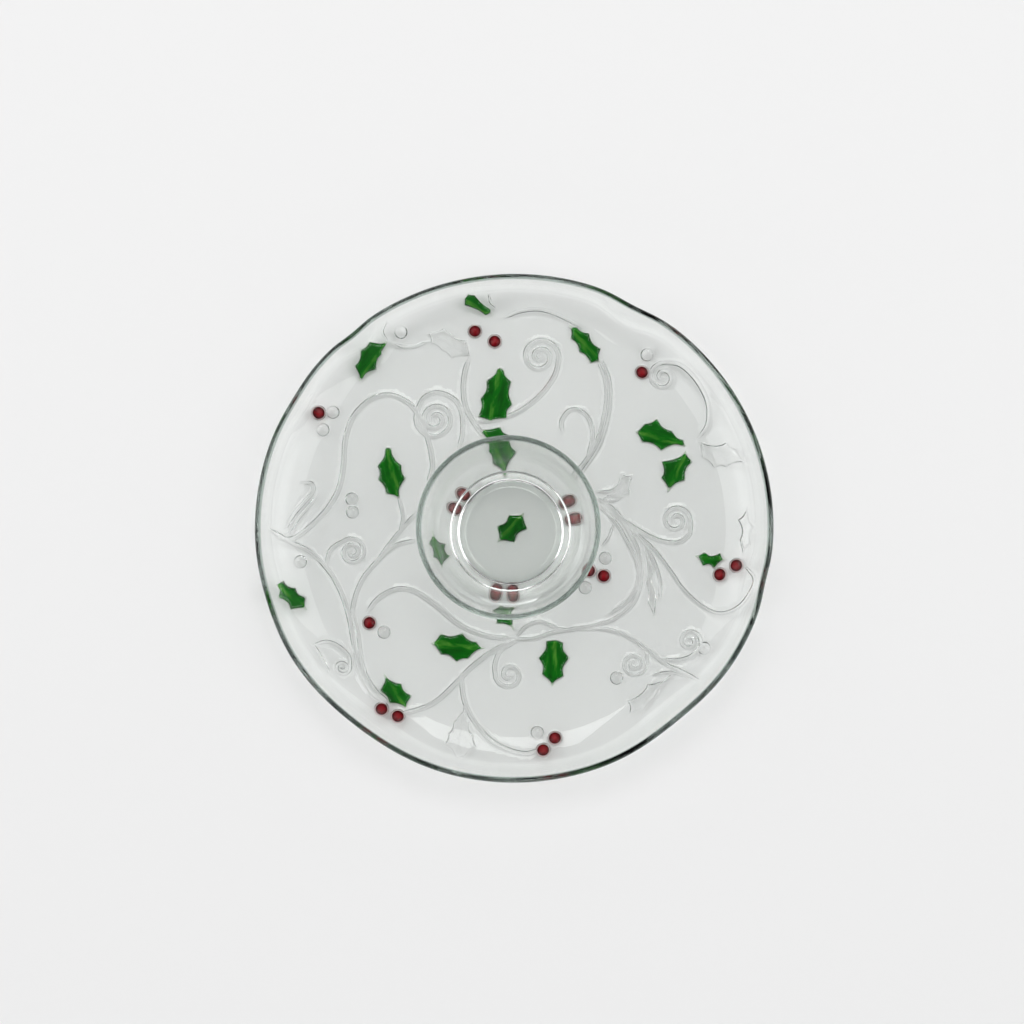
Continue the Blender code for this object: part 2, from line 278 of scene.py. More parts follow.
def new_piece(name: str, vertices: np.ndarray, faces: list[tuple[int, ...]]) -> bpy.types.Object:
    """Makes an object at the origin from plain lists.

    Args:
        name: the object's name.
        vertices: its points, in metres.
        faces: each face's point numbers.

    Returns:
        The new object, linked to the scene.
    """
    mesh = bpy.data.meshes.new(name)
    mesh.from_pydata([tuple(map(float, point)) for point in vertices], [], faces)
    mesh.shade_smooth()
    piece = bpy.data.objects.new(name, mesh)
    bpy.context.scene.collection.objects.link(piece)
    return piece


def guide(name: str, points: np.ndarray, edges: list[tuple[int, int]]) -> bpy.types.Object:
    """Makes a wire that steers a tree and is removed afterwards."""
    mesh = bpy.data.meshes.new(name)
    mesh.from_pydata([tuple(map(float, point)) for point in points], edges, [])
    wire = bpy.data.objects.new(name, mesh)
    bpy.context.scene.collection.objects.link(wire)
    return wire


def store(mesh: bpy.types.Mesh, name: str, values: np.ndarray) -> None:
    """Stores one number for each point of a mesh."""
    attribute = mesh.attributes.new(name, "FLOAT", "POINT")
    attribute.data.foreach_set("value", np.asarray(values, np.float32))


def smooth_path(points: list[tuple[float, float]], step: float) -> np.ndarray:
    """Draws a smooth curve through points and spaces it evenly.

    Args:
        points: the places that the curve passes through.
        step: the spacing along the curve, in the points' unit.

    Returns:
        The curve's points, one row each.
    """
    knots = np.array(points, float)
    padded = np.vstack([2 * knots[0] - knots[1], knots, 2 * knots[-1] - knots[-2]])
    share = np.linspace(0, 1, CURVE_STEPS, endpoint=False)[:, None]
    runs = []
    for before, start, end, after in zip(padded, padded[1:], padded[2:], padded[3:]):
        runs.append(0.5 * (
            2 * start + (end - before) * share + (2 * before - 5 * start + 4 * end - after) * share ** 2
            + (3 * start - before - 3 * end + after) * share ** 3
        ))
    dense = np.vstack([*runs, knots[-1:]])
    along = np.concatenate([[0.0], np.cumsum(np.hypot(*np.diff(dense, axis=0).T))])
    places = np.linspace(0, along[-1], max(2, round(along[-1] / step) + 1))
    return np.column_stack([np.interp(places, along, dense[:, axis]) for axis in (0, 1)])


def depth_inside(points: np.ndarray, loop: np.ndarray) -> np.ndarray:
    """Measures how far inside a closed outline each point lies.

    Args:
        points: the places to measure.
        loop: the outline's points, in order.

    Returns:
        The distance to the outline for each place, negative outside it.
    """
    end = np.roll(loop, -1, axis=0)
    run = end - loop
    offset = points[:, None] - loop[None]
    share = np.clip((offset * run).sum(2) / np.maximum((run ** 2).sum(1), 1e-12), 0, 1)
    gap = np.linalg.norm(offset - share[..., None] * run, axis=2).min(1)
    x, y = points[:, :1], points[:, 1:]
    level = (loop[:, 1] > y) != (end[:, 1] > y)
    rise = np.where(np.abs(run[:, 1]) < 1e-12, 1e-12, run[:, 1])
    ahead = x < loop[:, 0] + (y - loop[:, 1]) * run[:, 0] / rise
    return np.where((level & ahead).sum(1) % 2 == 1, gap, -gap)


def eased(share: np.ndarray) -> np.ndarray:
    """Runs smoothly from 0 to 1 as the share does."""
    held = np.clip(share, 0, 1)
    return held * held * (3 - 2 * held)


# ---------------------------------------------------------------- finishes


@dataclass(frozen=True)
class PressedGlass:
    """Soda-lime glass, pressed and then fire-polished.

    The flame melts the mould's grain away and leaves a glossy skin with a slow ripple, which makes the
    edges of reflections wander. At the lip the colour is painted a darker grey-green: painted shade for the
    dark lines that the rim shows, with a little of the green that iron gives glass seen along its edge.
    """

    name: str
    skin: str = "FAFBFA"
    # lip: painted shade, a darker grey-green for the rim's dark lines
    lip: str = "8C9B93"
    depth_colour: str = "CBD3D0"
    density: float = 16.0
    ior: float = 1.52
    ripple_mm: float = 16.0
    ripple_height_mm: float = 0.02
    frosted: bool = False
    frost_roughness: float = 0.07
    frost_clearness: float = 0.95

    def material(self) -> bpy.types.Material:
        """Makes the material."""
        made, shader = new_material(self.name)
        tree = made.node_tree
        # The lip's darker colour is painted shade, mixed into the glass's own skin colour by the stored lip
        # share.
        glass_and_painted_lip_shade = colour_ramp(tree, stored(tree, "lip"), ((0.0, srgb(self.skin)), (1.0, srgb(self.lip))))
        ripple = add_node(tree, "ShaderNodeTexNoise", {
            "Vector": add_node(tree, "ShaderNodeTexCoord").outputs["Object"],
            "Scale": 1 / (self.ripple_mm * MM), "Detail": 1.0})
        bump = add_node(tree, "ShaderNodeBump", {
            "Height": ripple.outputs[0], "Distance": self.ripple_height_mm * MM, "Strength": 1.0})
        feed(tree, shader, {
            "Base Color": glass_and_painted_lip_shade, "Roughness": 0.0, "IOR": self.ior, "Transmission Weight": 1.0,
            "Normal": bump.outputs[0]})
        if self.frosted:
            walls = stored(tree, "frost")
            clear = add_node(tree, "ShaderNodeMapRange", {
                "Value": walls, "To Min": 1.0, "To Max": self.frost_clearness})
            feed(tree, shader, {
                "Roughness": maths(tree, "MULTIPLY", walls, self.frost_roughness),
                "Transmission Weight": clear.outputs[0]})
        absorption = add_node(tree, "ShaderNodeVolumeAbsorption", {
            "Color": srgb(self.depth_colour), "Density": self.density})
        tree.links.new(absorption.outputs[0], tree.nodes["Material Output"].inputs["Volume"])
        return made


@dataclass(frozen=True)
class LeafEnamel:
    """Vitreous enamel, brushed into the leaf pockets and fired.

    It lies in full contact with the glass, so it shows deep and wet. It pools along the edges, and the green
    turns lighter along the midrib and in the brush's streaks. Round its edge, on the pocket's bevel, a pale
    band is painted: a painted highlight for the light that the bevel catches.

    Attributes:
        tones: the ramp's places for the deep, the middle and the thin colour.
        streaks: how fast the brush's streaks change along and across the leaf.
        rib_reach: where the midrib's lighter band starts and stops to fade, on the leaf's map.
        rib_gain: how much higher on the ramp the midrib is.
        pool_mm: how far in the pooled edge reaches.
        pool_loss: how much lower on the ramp the edge is.
        painted_halo_mm: where the painted pale halo, a painted highlight, fades into the green, from the
            enamel's edge.
    """

    name: str = "green vitreous enamel"
    deep: str = "05640A"
    middle: str = "0C8212"
    thin: str = "6DB843"
    # painted highlight: the pale colour painted round the leaf's edge, for the light on the pocket's bevel
    painted_halo: str = "E2EEDD"
    roughness: float = 0.3
    specular: float = 0.1
    tones: tuple[float, float, float] = (0.38, 0.6, 0.86)
    streaks: tuple[float, float, float] = (2.2, 9.0, 1.0)
    rib_reach: tuple[float, float] = (0.01, 0.1)
    rib_gain: float = 0.16
    pool_mm: float = 1.6
    pool_loss: float = 0.1
    painted_halo_mm: tuple[float, float] = (0.1, 0.35)

    def material(self) -> bpy.types.Material:
        """Makes the material. It reads the leaf's own map and each point's distance to the edge."""
        made, shader = new_material(self.name)
        tree = made.node_tree
        spot = add_node(tree, "ShaderNodeUVMap", uv_map="leaf").outputs[0]
        streaks = add_node(tree, "ShaderNodeMapping", {"Vector": spot, "Scale": self.streaks})
        brush = add_node(tree, "ShaderNodeTexNoise", {
            "Vector": streaks.outputs[0], "Scale": 1.0, "Detail": 4.0, "Roughness": 0.6, "Distortion": 0.4})
        sides = add_node(tree, "ShaderNodeSeparateXYZ", {0: spot})
        aside = maths(tree, "ABSOLUTE", sides.outputs["Y"])
        rib = smooth_range(tree, aside, *self.rib_reach, self.rib_gain, 0.0)
        edge = stored(tree, "edge_mm")
        pooled = smooth_range(tree, edge, 0.0, self.pool_mm, -self.pool_loss, 0.0)
        total = maths(tree, "ADD", brush.outputs[0], maths(tree, "ADD", rib, pooled))
        green = colour_ramp(tree, total, zip(self.tones, map(srgb, (self.deep, self.middle, self.thin))))
        # The pale band at the leaf's edge is a painted highlight, standing in for the light on the pocket's
        # bevel.
        body = mixed(tree, smooth_range(tree, edge, *self.painted_halo_mm), srgb(self.painted_halo), green)
        feed(tree, shader, {
            "Base Color": body, "Roughness": self.roughness, "Specular IOR Level": self.specular})
        return made


@dataclass(frozen=True)
class BerryEnamel:
    """Vitreous enamel, dropped into the berry pockets and fired.

    Each drop shows its clearest red in the middle and a deeper one where it pools. Round its edge a pale
    band is painted: a painted highlight for the light on the pocket's sloping sides.

    Attributes:
        tones: the ramp's places for the centre and the pooled colour.
        cloud_mm: the size of the clouds in the enamel.
        cloud_share: how far the clouds move the ramp.
        painted_halo_share: where the painted pale halo starts and ends, as a share of the drop's radius.
    """

    name: str = "red vitreous enamel"
    centre: str = "A80818"
    pooled: str = "5C0410"
    # painted highlight: the pale pink painted round the drop's edge
    painted_halo: str = "F0D9D9"
    roughness: float = 0.18
    specular: float = 0.25
    tones: tuple[float, float] = (0.55, 1.0)
    cloud_mm: float = 2.5
    cloud_share: float = 0.5
    painted_halo_share: tuple[float, float] = (0.8, 0.86)

    def material(self) -> bpy.types.Material:
        """Makes the material. It reads how far each point is from its drop's middle."""
        made, shader = new_material(self.name)
        tree = made.node_tree
        radial = stored(tree, "radial")
        cloud = add_node(tree, "ShaderNodeTexNoise", {
            "Vector": add_node(tree, "ShaderNodeTexCoord").outputs["Object"],
            "Scale": 1 / (self.cloud_mm * MM), "Detail": 2.0})
        shift = maths(tree, "MULTIPLY", cloud.outputs[0], self.cloud_share)
        total = maths(tree, "ADD", radial, shift)
        red = colour_ramp(tree, total, zip(self.tones, map(srgb, (self.centre, self.pooled))))
        # Towards the drop's edge the red gives way to a pale painted highlight.
        body = mixed(tree, smooth_range(tree, radial, *self.painted_halo_share), red, srgb(self.painted_halo))
        feed(tree, shader, {
            "Base Color": body, "Roughness": self.roughness, "Specular IOR Level": self.specular})
        return made


# ---------------------------------------------------------------- the pattern's places


CURL_END = 1.6  # the radius where a scroll ends, in mm
CURL_STEPS = 12  # in a turn of a scroll
MIDRIB_REACH = 0.85  # of the leaf's length
SIDE_RIB_REACH = 0.72  # of the spine's distance from the midrib
SIDE_RIB_START = 0.22  # how far before its spine a side rib leaves the midrib, of the leaf's length
FIRST_RIB = 0.05  # where the first side rib leaves it at the earliest
HOLLOW = 0.34  # how far a leaf's edge bows in between two spines, of their distance


@dataclass(frozen=True)
class Vine:
    """A pressed vine: a groove with steep sides and a flat floor, in millimetres.

    Attributes:
        half_width: from its middle to its walls.
        route: the places it runs through.
        curl: the radius and the number of turns of the scroll at its end, and its side.
    """

    half_width: float
    route: tuple[tuple[float, float], ...]
    curl: tuple[float, float, Side] | None = None

    def path(self, step: float) -> np.ndarray:
        """Draws the vine's middle line with its scroll, spaced evenly."""
        if self.curl is None:
            return smooth_path(list(self.route), step)
        radius, turns, side = self.curl
        (x0, y0), (x1, y1) = self.route[-2:]
        heading = math.atan2(y1 - y0, x1 - x0)
        centre = (x1 - side.value * radius * math.sin(heading),
                  y1 + side.value * radius * math.cos(heading))
        points = list(self.route)
        count = round(turns * CURL_STEPS)
        for turn in range(1, count + 1):
            angle = heading - side.value * math.pi / 2 + side.value * math.tau * turns * turn / count
            reach = radius + (CURL_END - radius) * turn / count
            points.append((centre[0] + reach * math.cos(angle), centre[1] + reach * math.sin(angle)))
        return smooth_path(points, step)


VINES = (
    # West: the long loop out of the rim, the scrolls beside it and the pair that runs down to the south
    Vine(1.5, ((-153, -7), (-144, -7), (-134, 0), (-122, 12), (-114, 26), (-111, 42), (-110, 58), (-105, 73),
               (-94, 84), (-81, 87), (-68, 81), (-60, 69), (-55, 54), (-53, 40), (-56, 28))),
    Vine(1.4, ((-36, 52), (-33.5, 61.5), (-34, 74.5), (-39, 84), (-49.5, 88.5), (-58.5, 85.3), (-62.8, 77)),
         (13.0, 2.1, Side.LEFT)),
    Vine(1.3, ((-158, -2), (-146, -9), (-132, -16), (-120, -28), (-112, -42), (-107, -57), (-104, -73),
               (-100, -91), (-93, -105), (-82, -115))),
    Vine(1.2, ((-105, -54), (-101, -68), (-99, -82), (-96, -95), (-89, -106), (-81, -113))),
    Vine(1.3, ((-105, -57), (-103, -45), (-98, -33), (-89, -22), (-78, -12), (-63, -8))),
    Vine(1.2, ((-89, -22), (-81, -11), (-73, -1), (-63, 10))),
    Vine(1.1, ((-74, -2), (-72, 6), (-73, 13), (-75, 20))),
    Vine(1.2, ((-122, -24), (-119, -14), (-110, -8)), (9.0, 1.9, Side.RIGHT)),
    Vine(1.0, ((-129, -76), (-121, -74), (-113, -77), (-107, -83), (-106, -90)), (5.0, 1.4, Side.RIGHT)),
    Vine(1.0, ((-129, -77), (-125, -84), (-120, -92))),
    Vine(1.2, ((-138, 30), (-132, 29), (-131, 24), (-136, 18), (-143, 10), (-148, 1))),
    Vine(1.1, ((-129, 20), (-135, 13), (-141, 6), (-146, -2))),
    Vine(0.7, ((-84, 133), (-86, 128), (-83, 123))),
    Vine(0.9, ((-78, 121), (-72, 119), (-65, 119), (-57, 122))),
    Vine(0.8, ((-16, 152), (-15, 148), (-12, 145))),
    # North: the stalk of the tall leaves, the great scroll and the arc above it
    Vine(1.5, ((-29, 111), (-32, 102), (-33, 90), (-31, 78), (-25, 67), (-18, 58))),
    Vine(1.5, ((-24, 69), (-9, 71), (4, 76), (17, 86), (26, 98), (29, 108)), (12.5, 1.9, Side.LEFT)),
    Vine(1.2, ((-6, 138), (4, 142), (17, 143), (30, 139), (45, 131))),
    # East: the double strand from the upper leaf, the hook, the scrolls and the long tendril
    Vine(0.9, ((55, 108), (59, 97), (60, 85), (58, 71), (54, 57), (46, 43), (38, 34))),
    Vine(0.9, ((58, 108), (62, 97), (63, 84), (61, 70), (56, 54), (48, 41), (41, 32))),
    Vine(1.3, ((32, 61), (31, 69), (36, 76), (43, 76), (49, 70), (51, 59), (48, 45))),
    Vine(1.2, ((120, 58), (126, 67), (126, 81), (119, 95), (109, 105), (99, 107)), (9.5, 1.5, Side.LEFT)),
    Vine(1.3, ((58, 14), (70, 5), (84, -4), (95, -9), (106, -10), (113, -5), (114, 3)),
         (9.5, 1.6, Side.LEFT)),
    Vine(1.2, ((54, 19), (66, 10), (75, -4), (81, -18), (82, -34), (77, -49), (65, -59), (50, -64),
               (34, -66))),
    Vine(1.1, ((55, 14), (65, 4), (73, -9), (79, -22), (80, -34), (74, -47), (62, -56))),
    Vine(1.0, ((70, 6), (81, -6), (89, -19), (94, -34), (94, -47))),
    Vine(0.9, ((75, -1), (89, -13), (100, -27), (109, -40), (121, -51), (133, -56), (145, -52), (153, -42),
               (155, -34), (150, -27))),
    Vine(0.8, ((57, -12), (61, -7), (64, 1))),
    Vine(1.0, ((54, 23), (62, 23), (68, 27), (70, 34))),
    Vine(0.9, ((56, 18), (64, 17), (71, 20))),
    # South: the eye below the bowl, the long run to the south-east, the waves, the bough and its scroll
    Vine(1.1, ((2, -70), (8, -64), (16, -61), (23, -63), (30, -66), (42, -66))),
    Vine(1.2, ((0, -72), (13, -72), (25, -68), (40, -66), (59, -66), (72, -70), (86, -79), (97, -88),
               (109, -94), (118, -99))),
    Vine(1.5, ((-95, -55), (-88, -46), (-77, -40), (-65, -41), (-51, -50), (-35, -63), (-18, -70),
               (-1, -72))),
    Vine(1.5, ((2, -72), (-12, -79), (-26, -89), (-38, -101), (-50, -112), (-63, -118), (-72, -120))),
    Vine(1.4, ((-34, -95), (-32, -111), (-26, -124), (-15, -137), (-2, -144), (9, -146), (17, -143))),
    Vine(1.3, ((1, -74), (-8, -79), (-12, -87), (-12, -95)), (9.0, 1.4, Side.LEFT)),
    Vine(1.1, ((94, -85), (104, -86), (113, -84), (118, -80)), (8.0, 1.5, Side.LEFT)),
    Vine(1.1, ((79, -74), (85, -80), (85, -88)), (8.0, 1.7, Side.RIGHT)),
    Vine(0.9, ((90, -95), (101, -94), (112, -97))),
)


@dataclass(frozen=True)
class ClearLeaf:
    """A holly leaf that is pressed but not filled, in millimetres.

    Attributes:
        stem: where it leaves its vine.
        tip: its far end.
        left: the spines on the left, each a place along the midrib (0 to 1) and a distance from it.
        right: the spines on the right.
    """

    stem: tuple[float, float]
    tip: tuple[float, float]
    left: tuple[tuple[float, float], ...]
    right: tuple[tuple[float, float], ...]

    def loop(self, step: float) -> np.ndarray:
        """Draws the leaf's outline, with a hollow arc between each two spines."""
        start, end = np.array(self.stem, float), np.array(self.tip, float)
        run = end - start
        across = np.array([-run[1], run[0]]) / np.hypot(*run)
        corners = [start]
        corners += [start + run * place - across * width for place, width in self.right]
        corners.append(end)
        corners += [start + run * place + across * width for place, width in reversed(self.left)]
        corners.append(start)
        return hollow_loop(np.array(corners), start + run / 2, step)

    def ribs(self) -> list[tuple[np.ndarray, np.ndarray]]:
        """Gives the midrib and a side rib to each spine, as start and end."""
        start, end = np.array(self.stem, float), np.array(self.tip, float)
        run = end - start
        across = np.array([-run[1], run[0]]) / np.hypot(*run)
        found = [(start, start + run * MIDRIB_REACH)]
        for spines, side in ((self.left, 1), (self.right, -1)):
            for place, width in spines:
                foot = start + run * max(place - SIDE_RIB_START, FIRST_RIB)
                found.append((foot, start + run * place + across * side * width * SIDE_RIB_REACH))
        return found


def hollow_loop(corners: np.ndarray, middle: np.ndarray, step: float) -> np.ndarray:
    """Joins spines by arcs that bow in towards the leaf's middle.

    Args:
        corners: the spines in order, the first one again at the end.
        middle: the leaf's middle.
        step: the spacing of the points.

    Returns:
        The closed outline, its first point not repeated.
    """
    points = []
    for start, end in zip(corners, corners[1:]):
        length = np.hypot(*(end - start))
        halfway = (start + end) / 2
        inward = middle - halfway
        pull = halfway + inward / max(np.hypot(*inward), 1e-9) * length * HOLLOW
        for share in np.arange(0, 1, min(1.0, step / max(length, 1e-9))):
            points.append((1 - share) ** 2 * start + 2 * share * (1 - share) * pull + share ** 2 * end)
    return np.array(points)


CLEAR_LEAVES = (
    ClearLeaf((-28, 112), (-57, 129), ((0.3, 8), (0.56, 6.5), (0.83, 5.5)),
              ((0.22, 8), (0.55, 7), (0.76, 8.5))),
    ClearLeaf((-32, -116), (-37, -150), ((0.25, 4.5), (0.5, 9), (0.71, 12), (0.94, 5.5)),
              ((0.29, 6), (0.54, 8), (0.76, 9))),
    ClearLeaf((120, 55), (151, 41), ((0.49, 7.5), (0.74, 5.5)), ((0.15, 9), (0.46, 12), (0.69, 8))),
    ClearLeaf((58, 18), (78, 34), ((0.77, 5.5),), ((0.31, 7), (0.63, 8.5))),
    ClearLeaf((148, -17), (151, 12), ((0.27, 3), (0.72, 5.5)), ((0.19, 4.5), (0.58, 6))),
    ClearLeaf((101, -96), (74, -121), ((0.48, 4), (0.74, 4.5)), ((0.39, 7), (0.86, 7.5))),
    ClearLeaf((85, -10), (91, -62), ((0.35, 4), (0.7, 3)), ((0.5, 3), (0.75, 3.5))),
)

CLEAR_BERRIES = (
    (-125, 64.5), (-118.5, 76), (-74, 128.5), (87, 112.5), (-84, -67.5), (59, -20), (46, -39), (66, -97),
    (15, -132), (-105.5, 19), (-105, 10.5), (-139, -22), (122.5, -78.5),
)


# ---------------------------------------------------------------- platter


@dataclass(frozen=True)
class PlatterForm:
    """The platter's section and the hand-made waves of its rim, as in the CAD. Lengths are in metres."""

    floor_radius: float = 127.0 * MM
    thickness: float = 4.6 * MM
    cove_radius: float = 46.0 * MM
    cove_slope: float = math.radians(52.0)
    patch_slope: float = math.radians(48.0)
    lip: float = 1.0 * MM
    rim_stretch: float = 1.4 * MM
    rim_lift: float = 1.2
    trim: float = 0.1 * MM
    cad_segments: int = 96
    floor_rings: tuple[float, ...] = (0.25, 0.5, 0.7, 0.85, 0.95)
    cove_rings: int = 15
    lip_rings: int = 13
    under_rings: int = 4
    pinches: tuple[tuple[float, float, float], ...] = (
        (61.0, 6.0, 2.5), (130.0, 4.0, 1.9), (150.0, 6.0, 0.9), (198.0, 9.0, 0.9),
        (232.0, 16.0, 2.4), (310.0, 12.0, 2.2), (347.0, 5.0, 1.3),
    )

    @property
    def end_radius(self) -> float:
        """The cove's radius from the platter's axis where the lip starts."""
        return self.floor_radius + self.cove_radius * math.sin(self.cove_slope)

    @property
    def rim_radius(self) -> float:
        """The rim's outermost radius before its waves."""
        return self.end_radius + self.lip * math.cos(self.cove_slope) + self.thickness / 2 * (
            1 - math.sin(self.cove_slope))

    @property
    def patch_radius(self) -> float:
        """How far out the pressed underside reaches."""
        return self.floor_radius + self.cove_radius * math.sin(self.patch_slope)

    def pinch(self, angle: np.ndarray) -> np.ndarray:
        """How far the rim is pinched inwards in each direction."""
        total = np.zeros_like(angle)
        for centre, half_width, depth in self.pinches:
            off = (angle - math.radians(centre) + math.pi) % math.tau - math.pi
            total += depth * MM * np.exp(-(off / math.radians(half_width)) ** 2)
        return total

    def shift(self, angle: np.ndarray) -> np.ndarray:
        """How far the rim stands outside its plain circle in each direction."""
        return self.rim_stretch * np.cos(2 * angle) - self.pinch(angle) - self.trim

    def centre(self) -> np.ndarray:
        """The middle of the box round the waved rim."""
        angle = np.arange(self.cad_segments) * math.tau / self.cad_segments
        out = self.rim_radius + self.shift(angle)
        x, y = out * np.cos(angle), out * np.sin(angle)
        return np.array([(x.min() + x.max()) / 2, (y.min() + y.max()) / 2])

    def place(self, radius: np.ndarray, height: np.ndarray, angle: np.ndarray) -> np.ndarray:
        """Places points of the plain section in the frame, waves added.

        Args:
            radius: each point's radius in the plain section.
            height: its height there.
            angle: its direction.

        Returns:
            The points, one row each.
        """
        reach = np.maximum(0.0, (radius - self.floor_radius) / (self.rim_radius - self.floor_radius))
        out = radius + reach * self.shift(angle)
        lift = reach ** 2 * self.rim_lift * self.pinch(angle)
        middle = self.centre()
        return np.column_stack([
            out * np.cos(angle) - middle[0], out * np.sin(angle) - middle[1], height + lift])

    def plain(self, spots: np.ndarray) -> tuple[np.ndarray, np.ndarray]:
        """Finds the plain radius and the direction of places in the frame."""
        x, y = (spots + self.centre()).T
        angle, out = np.arctan2(y, x), np.hypot(x, y)
        stretch = self.shift(angle) / (self.rim_radius - self.floor_radius)
        unwaved = (out + self.floor_radius * stretch) / (1 + stretch)
        return np.where(out <= self.floor_radius, out, unwaved), angle

    def under(self, radius: np.ndarray) -> np.ndarray:
        """The plain underside's height at each radius."""
        along = np.clip((radius - self.floor_radius) / self.cove_radius, 0, 1)
        return self.cove_radius * (1 - np.sqrt(1 - along ** 2))

    def outer_section(self) -> list[tuple[float, float]]:
        """The top, the rim and the cove's outside, as radius and height from the top's middle."""
        points = [(share * self.floor_radius, self.thickness) for share in self.floor_rings]
        inner = self.cove_radius - self.thickness
        for slope in np.linspace(0, self.cove_slope, self.cove_rings):
            points.append((
                self.floor_radius + inner * math.sin(slope), self.cove_radius - inner * math.cos(slope)))
        cos, sin = math.cos(self.cove_slope), math.sin(self.cove_slope)
        middle = self.cove_radius - self.thickness / 2
        end = self.floor_radius + middle * sin + self.lip * cos
        rise = self.cove_radius - middle * cos + self.lip * sin
        for turn in np.linspace(0, math.pi, self.lip_rings):
            angle = self.cove_slope + math.pi / 2 - turn
            points.append((
                end + self.thickness / 2 * math.cos(angle), rise + self.thickness / 2 * math.sin(angle)))
        for slope in np.linspace(self.cove_slope, self.patch_slope, self.under_rings):
            points.append((
                self.floor_radius + self.cove_radius * math.sin(slope),
                self.cove_radius - self.cove_radius * math.cos(slope)))
        return points


@dataclass(frozen=True)
class Pocket:
    """One leaf-shaped pocket, in millimetres.

    Attributes:
        loop: its outline.
        depth: its depth.
        wall: how wide its sloping wall is.
        spread: how far the wall reaches outside the outline.
        rows_at: where rows of points are laid, in walls' widths outwards from the wall's foot.
        stray: how far a point may lie from its row before it is left out.
    """

    loop: np.ndarray
    depth: float
    wall: float
    spread: float
    rows_at: tuple[float, ...] = (-0.35, 0.0, 0.25, 0.5, 0.75, 1.0, 1.3)
    stray: float = 0.12

    def press(self, spots: np.ndarray, depth: np.ndarray) -> None:
        """Deepens the given depths where the pocket lies under the places."""
        low, high = self.loop.min(0) - self.spread - self.stray, self.loop.max(0) + self.spread + self.stray
        near = np.flatnonzero(((spots > low) & (spots < high)).all(1))
        inside = depth_inside(spots[near], self.loop)
        depth[near] = np.maximum(depth[near], self.depth * eased((inside + self.spread) / self.wall))

    def rows(self) -> np.ndarray:
        """Lays points on both sides of the pocket's wall, clear of its sharp corners."""
        ahead = np.roll(self.loop, -1, axis=0) - np.roll(self.loop, 1, axis=0)
        out = np.column_stack([ahead[:, 1], -ahead[:, 0]]) / np.hypot(*ahead.T)[:, None]
        laid = []
        for share in self.rows_at:
            offset = self.spread - self.wall + share * self.wall
            spots = self.loop + out * offset
            laid.append(spots[np.abs(depth_inside(spots, self.loop) + offset) < self.stray])
        return np.vstack(laid)


